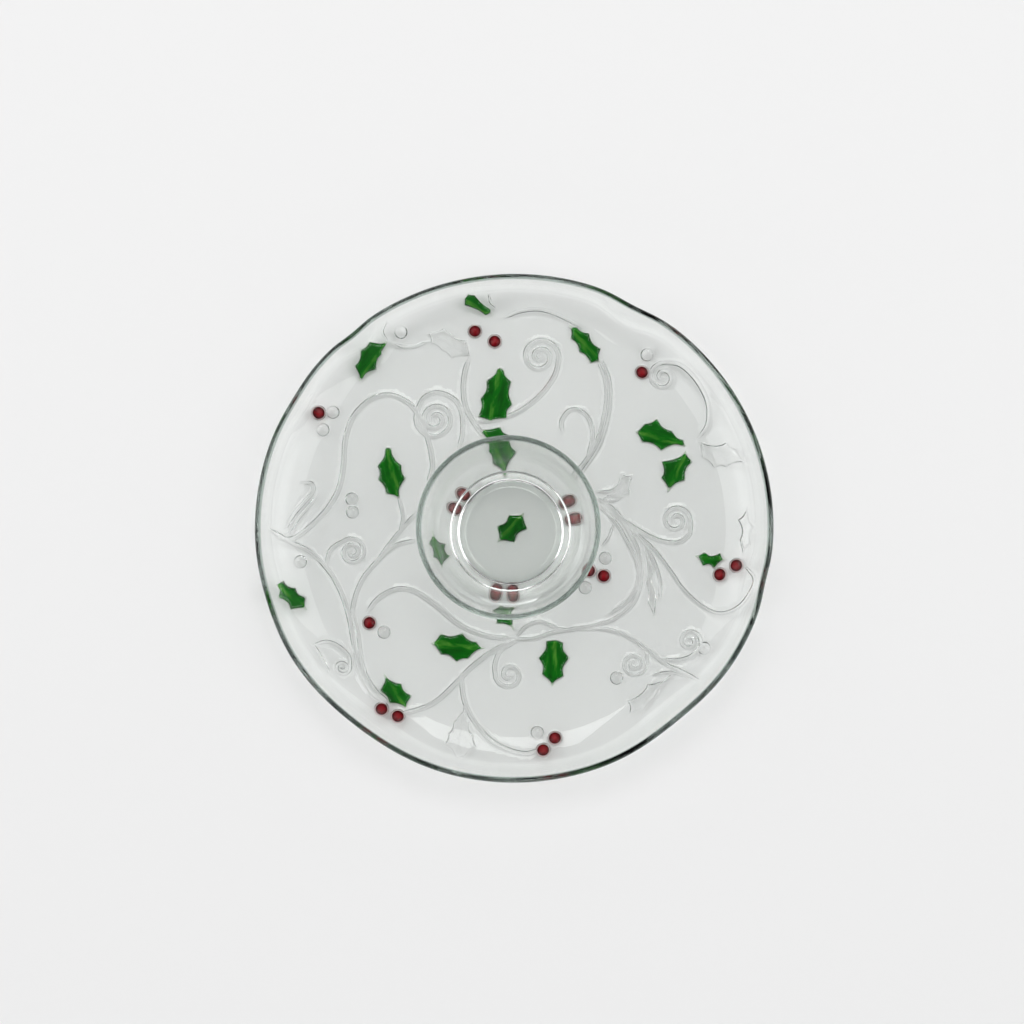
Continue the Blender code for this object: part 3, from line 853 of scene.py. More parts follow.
@dataclass
class Relief:
    """Everything pressed into the underside, in millimetres.

    Attributes:
        leaf_loops: the outlines of the enamel leaves.
        berries: the middles of the enamel berries.
        vine_tip: how wide a vine's end is, as a share of its width, and how long it tapers.
        vine_rows: where rows of points are laid along a vine, in half walls from the wall's middle.
        round_rows: where rings of points are laid on a berry, as shares of its radius.
        berry_frost: how matt the enamel berries' and the clear berries' rings are.
        frost_ring: where that ring starts, how fast it rises, where it ends and how fast it falls.
        fill: the spacing of the points on the plain floor, in rows fill_rise of that apart.
        fill_gap: how close to a wall's points they come, as a share of their spacing.
        fill_reach: how far out they are laid.
    """

    leaf_loops: list[np.ndarray]
    berries: np.ndarray
    leaf_depth: float = 1.1
    leaf_wall: float = 2.0
    leaf_spread: float = 1.0
    clear_depth: float = 1.0
    berry_radius: float = 5.2
    berry_depth: float = 2.0
    clear_radius: float = 4.6
    clear_berry_depth: float = 1.6
    vine_step: float = 1.1
    vine_wall: float = 0.8
    vine_tip: tuple[float, float] = (0.55, 5.0)
    rib_half_width: float = 0.45
    clear_wall: float = 1.1
    clear_spread: float = 0.2
    vine_rows: tuple[float, ...] = (-1.2, -0.4, 0.4, 1.2)
    round_rows: tuple[float, ...] = (0.16, 0.32, 0.47, 0.6, 0.71, 0.8, 0.87, 0.93, 0.98, 1.04, 1.2)
    round_step: float = 0.8
    berry_frost: tuple[float, float] = (0.9, 0.8)
    frost_ring: tuple[float, float, float, float] = (0.72, 0.14, 1.04, 0.12)
    fill: float = 2.7
    fill_rise: float = 0.866
    fill_gap: float = 0.62
    fill_reach: float = 170.0
    least_gap: float = 0.28

    def __post_init__(self) -> None:
        """Draws the vines and the pockets once."""
        self.paths = [(vine.path(self.vine_step), vine.half_width) for vine in VINES]
        for leaf in CLEAR_LEAVES:
            for start, end in leaf.ribs():
                rib = smooth_path([tuple(start), tuple(end)], self.vine_step)
                self.paths.append((rib, self.rib_half_width))
        self.pockets = [
            Pocket(loop, self.leaf_depth, self.leaf_wall, self.leaf_spread) for loop in self.leaf_loops]
        self.pockets += [
            Pocket(leaf.loop(OUTLINE_STEP), self.clear_depth, self.clear_wall, self.clear_spread)
            for leaf in CLEAR_LEAVES]

    def berry_bed(self, distance: np.ndarray) -> np.ndarray:
        """The depth of an enamel berry's bed at a distance from its middle: a dome with a soft foot."""
        share = np.clip(distance / self.berry_radius, 0, 1)
        return self.berry_depth * (1 - share ** 2) ** 0.8 * eased((1 - share) * 6)

    def clear_bed(self, distance: np.ndarray) -> np.ndarray:
        """The depth of a clear berry at a distance from its middle."""
        share = np.clip(distance / self.clear_radius, 0, 1)
        return self.clear_berry_depth * (1 - share ** 2) ** 0.6 * eased((1 - share) * 5)

    def pocket_depth(self, spots: np.ndarray) -> np.ndarray:
        """The depth pressed by leaves and berries at each place, in millimetres."""
        depth = np.zeros(len(spots))
        for pocket in self.pockets:
            pocket.press(spots, depth)
        for centres, bed in ((self.berries, self.berry_bed), (np.array(CLEAR_BERRIES), self.clear_bed)):
            for centre in centres:
                depth = np.maximum(depth, bed(np.hypot(*(spots - centre).T)))
        return depth

    def pocket_frost(self, spots: np.ndarray) -> np.ndarray:
        """How matt the pockets' walls are at each place: 1 on a wall, 0 on polished glass."""
        frost = np.zeros(len(spots))
        for pocket in self.pockets:
            depth = np.zeros(len(spots))
            pocket.press(spots, depth)
            share = depth / pocket.depth
            frost = np.maximum(frost, np.minimum(1, FROST_GAIN * share * (1 - share)))
        start, rise, end, fall = self.frost_ring
        beds = (self.berries, self.berry_radius), (np.array(CLEAR_BERRIES), self.clear_radius)
        for (centres, radius), strength in zip(beds, self.berry_frost):
            for centre in centres:
                share = np.hypot(*(spots - centre).T) / radius
                ring = eased((share - start) / rise) * eased((end - share) / fall)
                frost = np.maximum(frost, strength * ring)
        return frost

    def vine_guide(self) -> bpy.types.Object:
        """Makes the wire that the press follows, with each point's half width."""
        points, edges, widths = [], [], []
        tip, taper = self.vine_tip
        for path, half_width in self.paths:
            first = len(points)
            ends = np.minimum(np.arange(len(path)), np.arange(len(path))[::-1]) * self.vine_step
            points += [(x * MM, y * MM, 0.0) for x, y in path]
            widths += list(half_width * MM * (tip + (1 - tip) * eased(ends / taper)))
            edges += [(first + at, first + at + 1) for at in range(len(path) - 1)]
        wire = guide("vine_guide", np.array(points), edges)
        store(wire.data, "half_width", np.array(widths))
        return wire

    def spots(self) -> np.ndarray:
        """Lays the underside's points: rows along every wall, and a wide mesh on the plain floor."""
        centres = np.vstack([path for path, _ in self.paths])
        tree = KDTree(len(centres))
        for number, (x, y) in enumerate(centres):
            tree.insert((x, y, 0.0), number)
        tree.balance()
        laid = []
        for path, half_width in self.paths:
            run = np.gradient(path, axis=0)
            across = np.column_stack([-run[:, 1], run[:, 0]]) / np.hypot(*run.T)[:, None]
            half = self.vine_wall / 2
            offsets = [0.0]
            for side in (1, -1):
                offsets += [side * (half_width + step * half) for step in self.vine_rows]
            for offset in offsets:
                for x, y in path + across * offset:
                    if tree.find((x, y, 0.0))[2] > abs(offset) * 0.8 - 0.05:
                        laid.append((x, y))
        for pocket in self.pockets:
            laid += [tuple(spot) for spot in pocket.rows()]
        for centres, radius in ((self.berries, self.berry_radius), (CLEAR_BERRIES, self.clear_radius)):
            for x, y in centres:
                laid.append((x, y))
                for share in self.round_rows:
                    out = radius * share
                    count = max(8, round(math.tau * out / self.round_step))
                    for step in range(count):
                        angle = math.tau * (step + share) / count
                        laid.append((x + out * math.cos(angle), y + out * math.sin(angle)))
        return self.thinned(laid)

    def thinned(self, laid: list[tuple[float, float]]) -> np.ndarray:
        """Drops points that crowd others, and fills the plain floor between them.

        Args:
            laid: the points along the walls, the most wanted first.

        Returns:
            All the points to keep.
        """
        kept: list[tuple[float, float]] = []
        cells: dict[tuple[int, int], list[tuple[float, float]]] = {}

        def cell(x: float, y: float, size: float) -> tuple[int, int]:
            return math.floor(x / size), math.floor(y / size)

        def clear_of(x: float, y: float, gap: float, size: float) -> bool:
            column, row = cell(x, y, size)
            others = (other for across in (-1, 0, 1) for up in (-1, 0, 1)
                      for other in cells.get((column + across, row + up), ()))
            return all(math.hypot(x - other[0], y - other[1]) >= gap for other in others)

        for x, y in laid:
            if clear_of(x, y, self.least_gap, self.least_gap):
                cells.setdefault(cell(x, y, self.least_gap), []).append((x, y))
                kept.append((x, y))
        cells = {}
        for x, y in kept:
            cells.setdefault(cell(x, y, self.fill), []).append((x, y))
        row_height = self.fill * self.fill_rise
        filled = []
        for row in range(round(2 * self.fill_reach / row_height)):
            y = -self.fill_reach + row * row_height
            for column in range(round(2 * self.fill_reach / self.fill)):
                x = -self.fill_reach + (column + row % 2 / 2) * self.fill
                if clear_of(x, y, self.fill * self.fill_gap, self.fill):
                    filled.append((x, y))
        return np.array(kept + filled)


@dataclass
class Platter:
    """The pressed glass platter."""

    relief: Relief
    form: PlatterForm = PlatterForm()
    segments: int = 288
    finish: PressedGlass = PressedGlass("pressed soda-lime glass, platter", frosted=True)
    vine_depth: float = 0.7 * MM
    seam_gap: float = 0.6 * MM

    def blank(self) -> bpy.types.Object:
        """Makes the platter before the pattern is pressed, with its pockets' depths stored."""
        form = self.form
        angles = np.arange(self.segments) * math.tau / self.segments
        rings = form.outer_section()
        vertices = [form.place(np.zeros(1), np.full(1, form.thickness), np.zeros(1))]
        for radius, height in rings:
            vertices.append(form.place(np.full_like(angles, radius), np.full_like(angles, height), angles))
        count = self.segments
        faces = [(0, 1 + step, 1 + (step + 1) % count) for step in range(count)]
        for ring in range(len(rings) - 1):
            upper = 1 + ring * count
            for step in range(count):
                after = (step + 1) % count
                faces.append((upper + step, upper + count + step, upper + count + after, upper + after))
        edge_start = 1 + (len(rings) - 1) * count
        spots = self.relief.spots()
        radius, angle = form.plain(spots * MM)
        within = radius < form.patch_radius - self.seam_gap
        radius, angle, spots = radius[within], angle[within], spots[within]
        edge = form.patch_radius
        flat = [Vector((edge * math.cos(a), edge * math.sin(a))) / MM for a in angles]
        flat += [Vector((r * math.cos(a) / MM, r * math.sin(a) / MM)) for r, a in zip(radius, angle)]
        _, _, triangles, sources, *_ = delaunay_2d_cdt(flat, [], [], 0, 1e-4)
        inner_start = edge_start + count
        index = []
        for source in sources:
            number = source[0]
            index.append(edge_start + number if number < count else inner_start + number - count)
        faces += [tuple(index[corner] for corner in reversed(triangle)) for triangle in triangles]
        vertices.append(form.place(radius, form.under(radius), angle))
        points = np.vstack(vertices)
        piece = new_piece("platter_glass", points, faces)
        depth = np.zeros(len(points))
        depth[inner_start:] = self.relief.pocket_depth(spots) * MM
        pressed = np.zeros(len(points))
        pressed[inner_start:] = 1.0
        frost = np.zeros(len(points))
        frost[inner_start:] = self.relief.pocket_frost(spots)
        store(piece.data, "pocket", depth)
        store(piece.data, "pocket_frost", frost)
        store(piece.data, "pressed", pressed)
        # The lip share marks the rim, where the glass's colour is painted darker as shade for its dark lines.
        lip = np.zeros(len(points))
        first = len(form.floor_rings) + form.cove_rings + 1
        lip[1 + first * count:1 + (first + form.lip_rings - 2) * count] = 1.0
        store(piece.data, "lip", lip)
        return piece

    def press(self) -> bpy.types.NodeTree:
        """Builds the tree that presses the vines and pockets into the underside."""
        tree = geometry_tree("press_pattern", {
            "Vines": "NodeSocketObject", "Depth": "NodeSocketFloat", "Wall": "NodeSocketFloat",
            "Glass": "NodeSocketMaterial",
        })
        given = add_node(tree, "NodeGroupInput").outputs
        wire = geometry_of(tree, given["Vines"])
        level = vector_maths(
            tree, "MULTIPLY", add_node(tree, "GeometryNodeInputPosition").outputs[0], FLATTENED)
        near = add_node(tree, "GeometryNodeProximity", {0: wire, "Sample Position": level},
                        target_element="EDGES")
        closest = add_node(tree, "GeometryNodeSampleNearest", {"Geometry": wire, "Sample Position": level})
        width = add_node(tree, "GeometryNodeSampleIndex", {
            "Geometry": wire, "Value": stored(tree, "half_width"), "Index": closest.outputs[0]}).outputs[0]
        half_wall = maths(tree, "MULTIPLY", given["Wall"], 0.5)
        groove = smooth_range(
            tree, near.outputs["Distance"], maths(tree, "SUBTRACT", width, half_wall),
            maths(tree, "ADD", width, half_wall), given["Depth"], 0.0)
        pressed = stored(tree, "pressed")
        share = maths(tree, "DIVIDE", groove, given["Depth"])
        wall = maths(tree, "MULTIPLY", share, maths(tree, "SUBTRACT", 1.0, share))
        steep = maths(tree, "MULTIPLY", wall, FROST_GAIN, use_clamp=True)
        frosted = maths(tree, "MAXIMUM", steep, stored(tree, "pocket_frost"))
        deepest = maths(tree, "MAXIMUM", groove, stored(tree, "pocket"))
        inwards = maths(tree, "MULTIPLY", maths(tree, "MULTIPLY", deepest, pressed), -1.0)
        kept = add_node(tree, "GeometryNodeStoreNamedAttribute", {
            "Geometry": given["Geometry"], "Name": "frost",
            "Value": maths(tree, "MULTIPLY", frosted, pressed)}, data_type="FLOAT", domain="POINT")
        shaped = add_node(tree, "GeometryNodeSetPosition", {
            "Geometry": kept.outputs[0],
            "Offset": scaled(tree, add_node(tree, "GeometryNodeInputNormal").outputs[0], inwards)})
        finish_tree(tree, shaped.outputs[0], given["Glass"])
        return tree

    def build(self) -> tuple[bpy.types.Object, bpy.types.Object]:
        """Presses the platter.

        Returns:
            The platter, and its unpressed blank, which the enamel is laid against.
        """
        piece = self.blank()
        blank = bpy.data.objects.new("platter_blank", piece.data.copy())
        bpy.context.scene.collection.objects.link(blank)
        vines = self.relief.vine_guide()
        run_tree(piece, self.press(), {
            "Vines": vines, "Depth": self.vine_depth, "Wall": self.relief.vine_wall * MM,
            "Glass": self.finish.material(),
        })
        bpy.data.objects.remove(vines, do_unlink=True)
        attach(piece, "platter")
        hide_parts("platter")
        return piece, blank


# ---------------------------------------------------------------- enamel

RAY_DROP = 0.05  # how far below the floor the search for the underside starts, in metres
RAY_LENGTH = 0.2
FACING_UP = 0.3  # the least upward share of the normal of a slab's top
SPINE_TURN = math.radians(25.0)  # an outline that turns more than this has a spine there
MAP_MM = 30.0  # the length that the leaf's map takes as 1

def top_outline(node: bpy.types.Object) -> np.ndarray:
    """Reads the outline of a CAD slab's upper face.

    Args:
        node: the CAD node, whose mesh is loose triangles.

    Returns:
        The outline in millimetres, anticlockwise from above.
    """
    corners, numbers = {}, []
    for vertex in node.data.vertices:
        key = tuple(round(value / MM, 3) for value in vertex.co)
        numbers.append(corners.setdefault(key, len(corners)))
    spots = np.array(list(corners))[:, :2]
    follows = {}
    for face in node.data.polygons:
        if face.normal.z > FACING_UP:
            loop = [numbers[number] for number in face.vertices]
            for start, end in zip(loop, loop[1:] + loop[:1]):
                if follows.get(end, {}).pop(start, None) is None:
                    follows.setdefault(start, {})[end] = True
    here = next(start for start, ends in follows.items() if ends)
    first, order = here, []
    while not order or here != first:
        order.append(here)
        here = next(iter(follows[here]))
    return spots[order]


def softened(outline: np.ndarray, step: float) -> np.ndarray:
    """Turns a leaf outline of straight runs into spines joined by smooth hollow arcs.

    Args:
        outline: the straight-edged outline, anticlockwise.
        step: the spacing of the new points.

    Returns:
        The new outline.
    """
    into = outline - np.roll(outline, 1, axis=0)
    out_of = np.roll(outline, -1, axis=0) - outline
    turn = np.arctan2(into[:, 0] * out_of[:, 1] - into[:, 1] * out_of[:, 0], (into * out_of).sum(1))
    spines = np.flatnonzero(turn > SPINE_TURN)
    runs = []
    for start, end in zip(spines, np.append(spines[1:], spines[0] + len(outline))):
        run = outline[np.arange(start, end + 1) % len(outline)]
        runs.append(smooth_path([tuple(point) for point in run], step)[:-1])
    return np.vstack(runs)


def lay_tree(scatter: bool) -> bpy.types.NodeTree:
    """Builds the tree that lays flat enamel blanks on the platter's underside.

    Args:
        scatter: whether the blank is first repeated on the piece's points.

    Returns:
        The tree.
    """
    tree = geometry_tree("lay_enamel_drops" if scatter else "lay_enamel_leaf", {
        "Underside": "NodeSocketObject", "Drop": "NodeSocketObject", "Enamel": "NodeSocketMaterial"})
    given = add_node(tree, "NodeGroupInput").outputs
    shape = given["Geometry"]
    if scatter:
        drop = add_node(tree, "GeometryNodeObjectInfo", {"Object": given["Drop"], "As Instance": True})
        spread = add_node(tree, "GeometryNodeInstanceOnPoints", {
            "Points": given["Geometry"], "Instance": drop.outputs["Geometry"]})
        shape = add_node(tree, "GeometryNodeRealizeInstances", {0: spread.outputs[0]}).outputs[0]
    level = vector_maths(tree, "MULTIPLY", add_node(tree, "GeometryNodeInputPosition").outputs[0], FLATTENED)
    hit = add_node(tree, "GeometryNodeRaycast", {
        "Target Geometry": geometry_of(tree, given["Underside"]),
        "Source Position": vector_maths(tree, "ADD", level, (0.0, 0.0, -RAY_DROP)),
        "Ray Direction": (0.0, 0.0, 1.0), "Ray Length": RAY_LENGTH})
    into = maths(tree, "MULTIPLY", stored(tree, "height"), -1.0)
    lift = scaled(tree, hit.outputs["Hit Normal"], into)
    laid = add_node(tree, "GeometryNodeSetPosition", {
        "Geometry": shape, "Position": vector_maths(tree, "ADD", hit.outputs["Hit Position"], lift)})
    finish_tree(tree, laid.outputs[0], given["Enamel"])
    return tree


@dataclass
class EnamelLeaves:
    """The green fillings of the leaf pockets, in millimetres.

    Attributes:
        loops: each leaf's CAD node and outline.
        contact: how far the enamel's top is sunk into the glass.
        underside: how deep in its pocket the enamel ends.
        rounding: how much deeper it ends at its edge, over rounding_reach.
        least: the thinnest that it gets.
        painted_halo: how far it reaches outside the outline, up the pocket's bevel, carrying the painted pale
            halo.
        grain: the spacing of its inner points, which stay inner_gap of that from the edge.
        stray: how far an edge point may lie from its place before it is left out.
    """

    loops: dict[str, np.ndarray]
    relief: Relief
    finish: LeafEnamel = LeafEnamel()
    contact: float = 0.04
    underside: float = 0.45
    rounding: float = 0.25
    rounding_reach: float = 1.2
    least: float = 0.12
    painted_halo: float = 0.35
    grain: float = 1.5
    inner_gap: float = 0.45
    stray: float = 0.15

    def blank(self, name: str, loop: np.ndarray) -> bpy.types.Object:
        """Makes one flat leaf with two faces, and stores the height of each point above the underside.

        Args:
            name: the piece's name.
            loop: the leaf's outline, in millimetres.

        Returns:
            The flat leaf.
        """
        core, loop = loop, self.fringed(loop)
        low, high = loop.min(0), loop.max(0)
        across, up = np.meshgrid(*(np.arange(low[axis], high[axis], self.grain) for axis in (0, 1)))
        inner = np.column_stack([across.ravel(), up.ravel()])
        inner = inner[depth_inside(inner, loop) > self.inner_gap * self.grain]
        count = len(loop)
        flat = [Vector(point) for point in np.vstack([loop, inner])]
        edges = [(at, (at + 1) % count) for at in range(count)]
        placed, _, triangles, _, *_ = delaunay_2d_cdt(flat, edges, [tuple(range(count))], 1, 1e-5)
        spots = np.array([tuple(point) for point in placed])
        total = len(spots)
        vertices = np.vstack([np.column_stack([spots * MM, np.zeros(total)])] * 2)
        faces = [tuple(triangle) for triangle in triangles]
        faces += [tuple(corner + total for corner in reversed(triangle)) for triangle in triangles]
        ring = self.border(triangles)
        faces += [(start + total, end + total, end, start) for start, end in ring]
        piece = new_piece(name, vertices, faces)
        edge = np.maximum(depth_inside(spots, loop), 0.0)
        slope = (depth_inside(spots, core) + self.relief.leaf_spread) / self.relief.leaf_wall
        top = self.relief.leaf_depth * eased(slope) + self.contact
        rounded = self.underside + self.rounding * (1 - eased(edge / self.rounding_reach))
        bottom = np.minimum(rounded, top - self.least)
        height = np.concatenate([top, bottom])
        store(piece.data, "height", height * MM)
        store(piece.data, "edge_mm", np.concatenate([edge, edge]))
        self.map_leaf(piece.data, loop)
        return piece

    def fringed(self, loop: np.ndarray) -> np.ndarray:
        """Moves a leaf's outline outwards, up the pocket's bevel, to where the painted pale halo ends."""
        ahead = np.roll(loop, -1, axis=0) - np.roll(loop, 1, axis=0)
        out = np.column_stack([ahead[:, 1], -ahead[:, 0]]) / np.hypot(*ahead.T)[:, None]
        moved = loop + out * self.painted_halo
        return moved[np.abs(depth_inside(moved, loop) + self.painted_halo) < self.stray]

    @staticmethod
    def border(triangles: list[list[int]]) -> list[tuple[int, int]]:
        """Finds the edges that only one triangle uses, in that triangle's direction."""
        sides = {(a, b) for t in triangles for a, b in ((t[0], t[1]), (t[1], t[2]), (t[2], t[0]))}
        return [(start, end) for start, end in sides if (end, start) not in sides]

    @staticmethod
    def map_leaf(mesh: bpy.types.Mesh, loop: np.ndarray) -> None:
        """Maps a leaf along and across its longest line."""
        spread = np.hypot(*(loop[:, None] - loop[None]).transpose(2, 0, 1))
        start, end = np.unravel_index(spread.argmax(), spread.shape)
        along = (loop[end] - loop[start]) / spread.max()
        across = np.array([-along[1], along[0]])
        layer = mesh.uv_layers.new(name="leaf")
        for corner in mesh.loops:
            spot = np.array(mesh.vertices[corner.vertex_index].co[:2]) / MM - loop[start]
            layer.data[corner.index].uv = (spot @ along / MAP_MM + loop[start][0], spot @ across / MAP_MM)

    def build(self, blank: bpy.types.Object) -> list[bpy.types.Object]:
        """Lays every leaf's filling in its pocket."""
        enamel, tree, pieces = self.finish.material(), lay_tree(False), []
        for node, loop in self.loops.items():
            piece = self.blank(node.replace("leaf_enamel", "leaf_fill"), loop)
            run_tree(piece, tree, {"Underside": blank, "Enamel": enamel})
            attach(piece, "platter")
            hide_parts(node)
            pieces.append(piece)
        return pieces


@dataclass
class EnamelBerries:
    """The red drops in the berry pockets, in millimetres. Their fields are as the leaves' are."""

    nodes: list[str]
    relief: Relief
    finish: BerryEnamel = BerryEnamel()
    radius: float = 4.6
    contact: float = 0.04
    underside: float = 0.5
    least: float = 0.12
    segments: int = 28
    rings: int = 8

    def drop(self) -> bpy.types.Object:
        """Makes one flat round blank with two faces, and stores the heights of its points."""
        spots, heights, radial = [(0.0, 0.0)], [float(self.relief.berry_bed(np.zeros(1))[0])], [0.0]
        for ring in range(1, self.rings + 1):
            share = math.sin(math.pi / 2 * ring / self.rings)
            for step in range(self.segments):
                angle = math.tau * step / self.segments
                spots.append((self.radius * share * math.cos(angle), self.radius * share * math.sin(angle)))
                heights.append(float(self.relief.berry_bed(np.array([self.radius * share]))[0]))
                radial.append(share)
        total, count = len(spots), self.segments
        faces = []
        for side in (0, 1):
            for step in range(count):
                after = (step + 1) % count
                found = [(0, 1 + step, 1 + after)]
                for ring in range(self.rings - 1):
                    near = 1 + ring * count
                    found.append((near + step, near + count + step, near + count + after, near + after))
                faces += [tuple(n + total for n in reversed(face)) if side else face for face in found]
        last = 1 + (self.rings - 1) * count
        for step in range(count):
            after = (step + 1) % count
            faces.append((last + after, last + step, last + step + total, last + after + total))
        flat = np.column_stack([np.array(spots) * MM, np.zeros(total)])
        piece = new_piece("berry_blank", np.vstack([flat, flat]), faces)
        top = np.array(heights) + self.contact
        bottom = np.minimum(self.underside, top - self.least)
        store(piece.data, "height", np.concatenate([top, bottom]) * MM)
        store(piece.data, "radial", np.array(radial * 2))
        return piece

    def build(self, blank: bpy.types.Object) -> bpy.types.Object:
        """Sets a drop in every berry pocket, as one piece."""
        drop = self.drop()
        centres = np.column_stack([self.relief.berries * MM, np.zeros(len(self.relief.berries))])
        piece = guide("berry_fills", centres, [])
        run_tree(piece, lay_tree(True), {
            "Underside": blank, "Drop": drop, "Enamel": self.finish.material()})
        bpy.data.objects.remove(drop, do_unlink=True)
        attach(piece, "platter")
        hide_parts(*self.nodes)
        return piece


# ---------------------------------------------------------------- dip bowl


@dataclass
class DipBowl:
    """The plain turned bowl. Its size and place come from the frame, the rest is in metres."""

    wall: float = 3.2 * MM
    foot_radius: float = 40.5 * MM
    foot_height: float = 3.0 * MM
    foot_round: float = 0.4 * MM
    recess_radius: float = 35.5 * MM
    recess_depth: float = 1.0 * MM
    floor_radius: float = 30.0 * MM
    floor_height: float = 5.0 * MM
    heel_step: tuple[float, float] = (0.6 * MM, 1.2 * MM)
    recess_step: float = 0.3 * MM
    outer_belly: tuple[float, float] = (48.0 * MM, 12.0 * MM)
    inner_belly: tuple[float, float] = (43.0 * MM, 9.0 * MM)
    wall_steps: int = 34
    lip_steps: int = 11
    foot_steps: int = 5
    segments: int = 192
    finish: PressedGlass = PressedGlass("pressed soda-lime glass, bowl", density=5.0, ripple_mm=24.0)

    def profile(self, rim: float, height: float) -> np.ndarray:
        """Draws the section from the middle of the floor, up, over the rim and down to the foot.

        Args:
            rim: the rim's outer radius.
            height: the bowl's height.

        Returns:
            Radius and height for each point.
        """
        lip = self.wall / 2
        inner_rim, outer_rim = (rim - self.wall, height - lip), (rim, height - lip)
        heel = (self.foot_radius + self.heel_step[0], self.foot_height + self.heel_step[1])
        points = [(share * self.floor_radius, self.floor_height) for share in (0.0, 0.4, 0.7, 0.9)]
        points += self.pulled(
            (self.floor_radius, self.floor_height), self.inner_belly, inner_rim, self.wall_steps)
        for turn in np.linspace(0, math.pi, self.lip_steps)[1:-1]:
            points.append((rim - lip - lip * math.cos(turn), height - lip + lip * math.sin(turn)))
        points += self.pulled(outer_rim, self.outer_belly, heel, self.wall_steps)
        points.append((self.foot_radius, self.foot_height))
        points += self.pulled((self.foot_radius, self.foot_round), (self.foot_radius, 0.0),
                              (self.foot_radius - self.foot_round, 0.0), self.foot_steps)
        points += self.pulled((self.recess_radius + self.foot_round, 0.0), (self.recess_radius, 0.0),
                              (self.recess_radius - self.recess_step, self.recess_depth), self.foot_steps)
        points += [(share * self.recess_radius, self.recess_depth) for share in (0.8, 0.4, 0.0)]
        return np.array(points)

    @staticmethod
    def pulled(start: tuple[float, float], pull: tuple[float, float], end: tuple[float, float],
               steps: int) -> list[tuple[float, float]]:
        """Draws a curve from start to end, bowed towards pull."""
        found = []
        for step in range(steps + 1):
            u = step / steps
            found.append(tuple(
                (1 - u) ** 2 * a + 2 * u * (1 - u) * b + u ** 2 * c for a, b, c in zip(start, pull, end)))
        return found

    @staticmethod
    def turning() -> bpy.types.NodeTree:
        """Builds the tree that turns a profile round the upright axis."""
        tree = geometry_tree("turn_profile", {
            "Profile": "NodeSocketObject", "Points": "NodeSocketInt", "Segments": "NodeSocketInt",
            "Centre": "NodeSocketVector", "Glass": "NodeSocketMaterial"})
        given = add_node(tree, "NodeGroupInput").outputs
        around = maths(tree, "ADD", given["Segments"], 1.0)
        grid = add_node(tree, "GeometryNodeMeshGrid", {"Vertices X": given["Points"], "Vertices Y": around})
        number = add_node(tree, "GeometryNodeInputIndex").outputs[0]
        row = maths(tree, "FLOOR", maths(tree, "DIVIDE", number, around))
        step = maths(tree, "SUBTRACT", number, maths(tree, "MULTIPLY", row, around))
        turn = maths(tree, "DIVIDE", step, given["Segments"])
        sampled = add_node(tree, "GeometryNodeSampleIndex", {
            "Geometry": geometry_of(tree, given["Profile"]),
            "Value": add_node(tree, "GeometryNodeInputPosition").outputs[0], "Index": row,
        }, data_type="FLOAT_VECTOR")
        turned = add_node(tree, "ShaderNodeVectorRotate", {
            "Vector": sampled.outputs[0], "Angle": maths(tree, "MULTIPLY", turn, math.tau),
        }, rotation_type="Z_AXIS")
        shaped = add_node(tree, "GeometryNodeSetPosition", {
            "Geometry": grid.outputs["Mesh"],
            "Position": vector_maths(tree, "ADD", turned.outputs[0], given["Centre"])})
        closed = add_node(tree, "GeometryNodeMergeByDistance", {
            "Geometry": shaped.outputs[0], "Distance": 0.01 * MM})
        finish_tree(tree, closed.outputs[0], given["Glass"])
        return tree

    def build(self) -> bpy.types.Object:
        """Turns the bowl in its place in the frame."""
        low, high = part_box("dip_bowl")
        points = self.profile((high.x - low.x) / 2, high.z - low.z)
        upright = np.column_stack([points[:, 0], np.zeros(len(points)), points[:, 1]])
        wire = guide("bowl_profile", upright, [])
        piece = guide("dip_bowl_glass", np.zeros((1, 3)), [])
        run_tree(piece, self.turning(), {
            "Profile": wire, "Points": len(points), "Segments": self.segments,
            "Centre": ((low.x + high.x) / 2, (low.y + high.y) / 2, low.z), "Glass": self.finish.material()})
        bpy.data.objects.remove(wire, do_unlink=True)
        # The lip share marks the top of the wall, where the glass's colour is painted darker as shade for the
        # rim's dark lines.
        heights = np.array([vertex.co.z for vertex in piece.data.vertices])
        store(piece.data, "lip", eased((heights - high.z + self.wall) / (self.wall / 2)))
        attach(piece, "dip_bowl")
        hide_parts("dip_bowl")
        return piece


# ---------------------------------------------------------------- studio


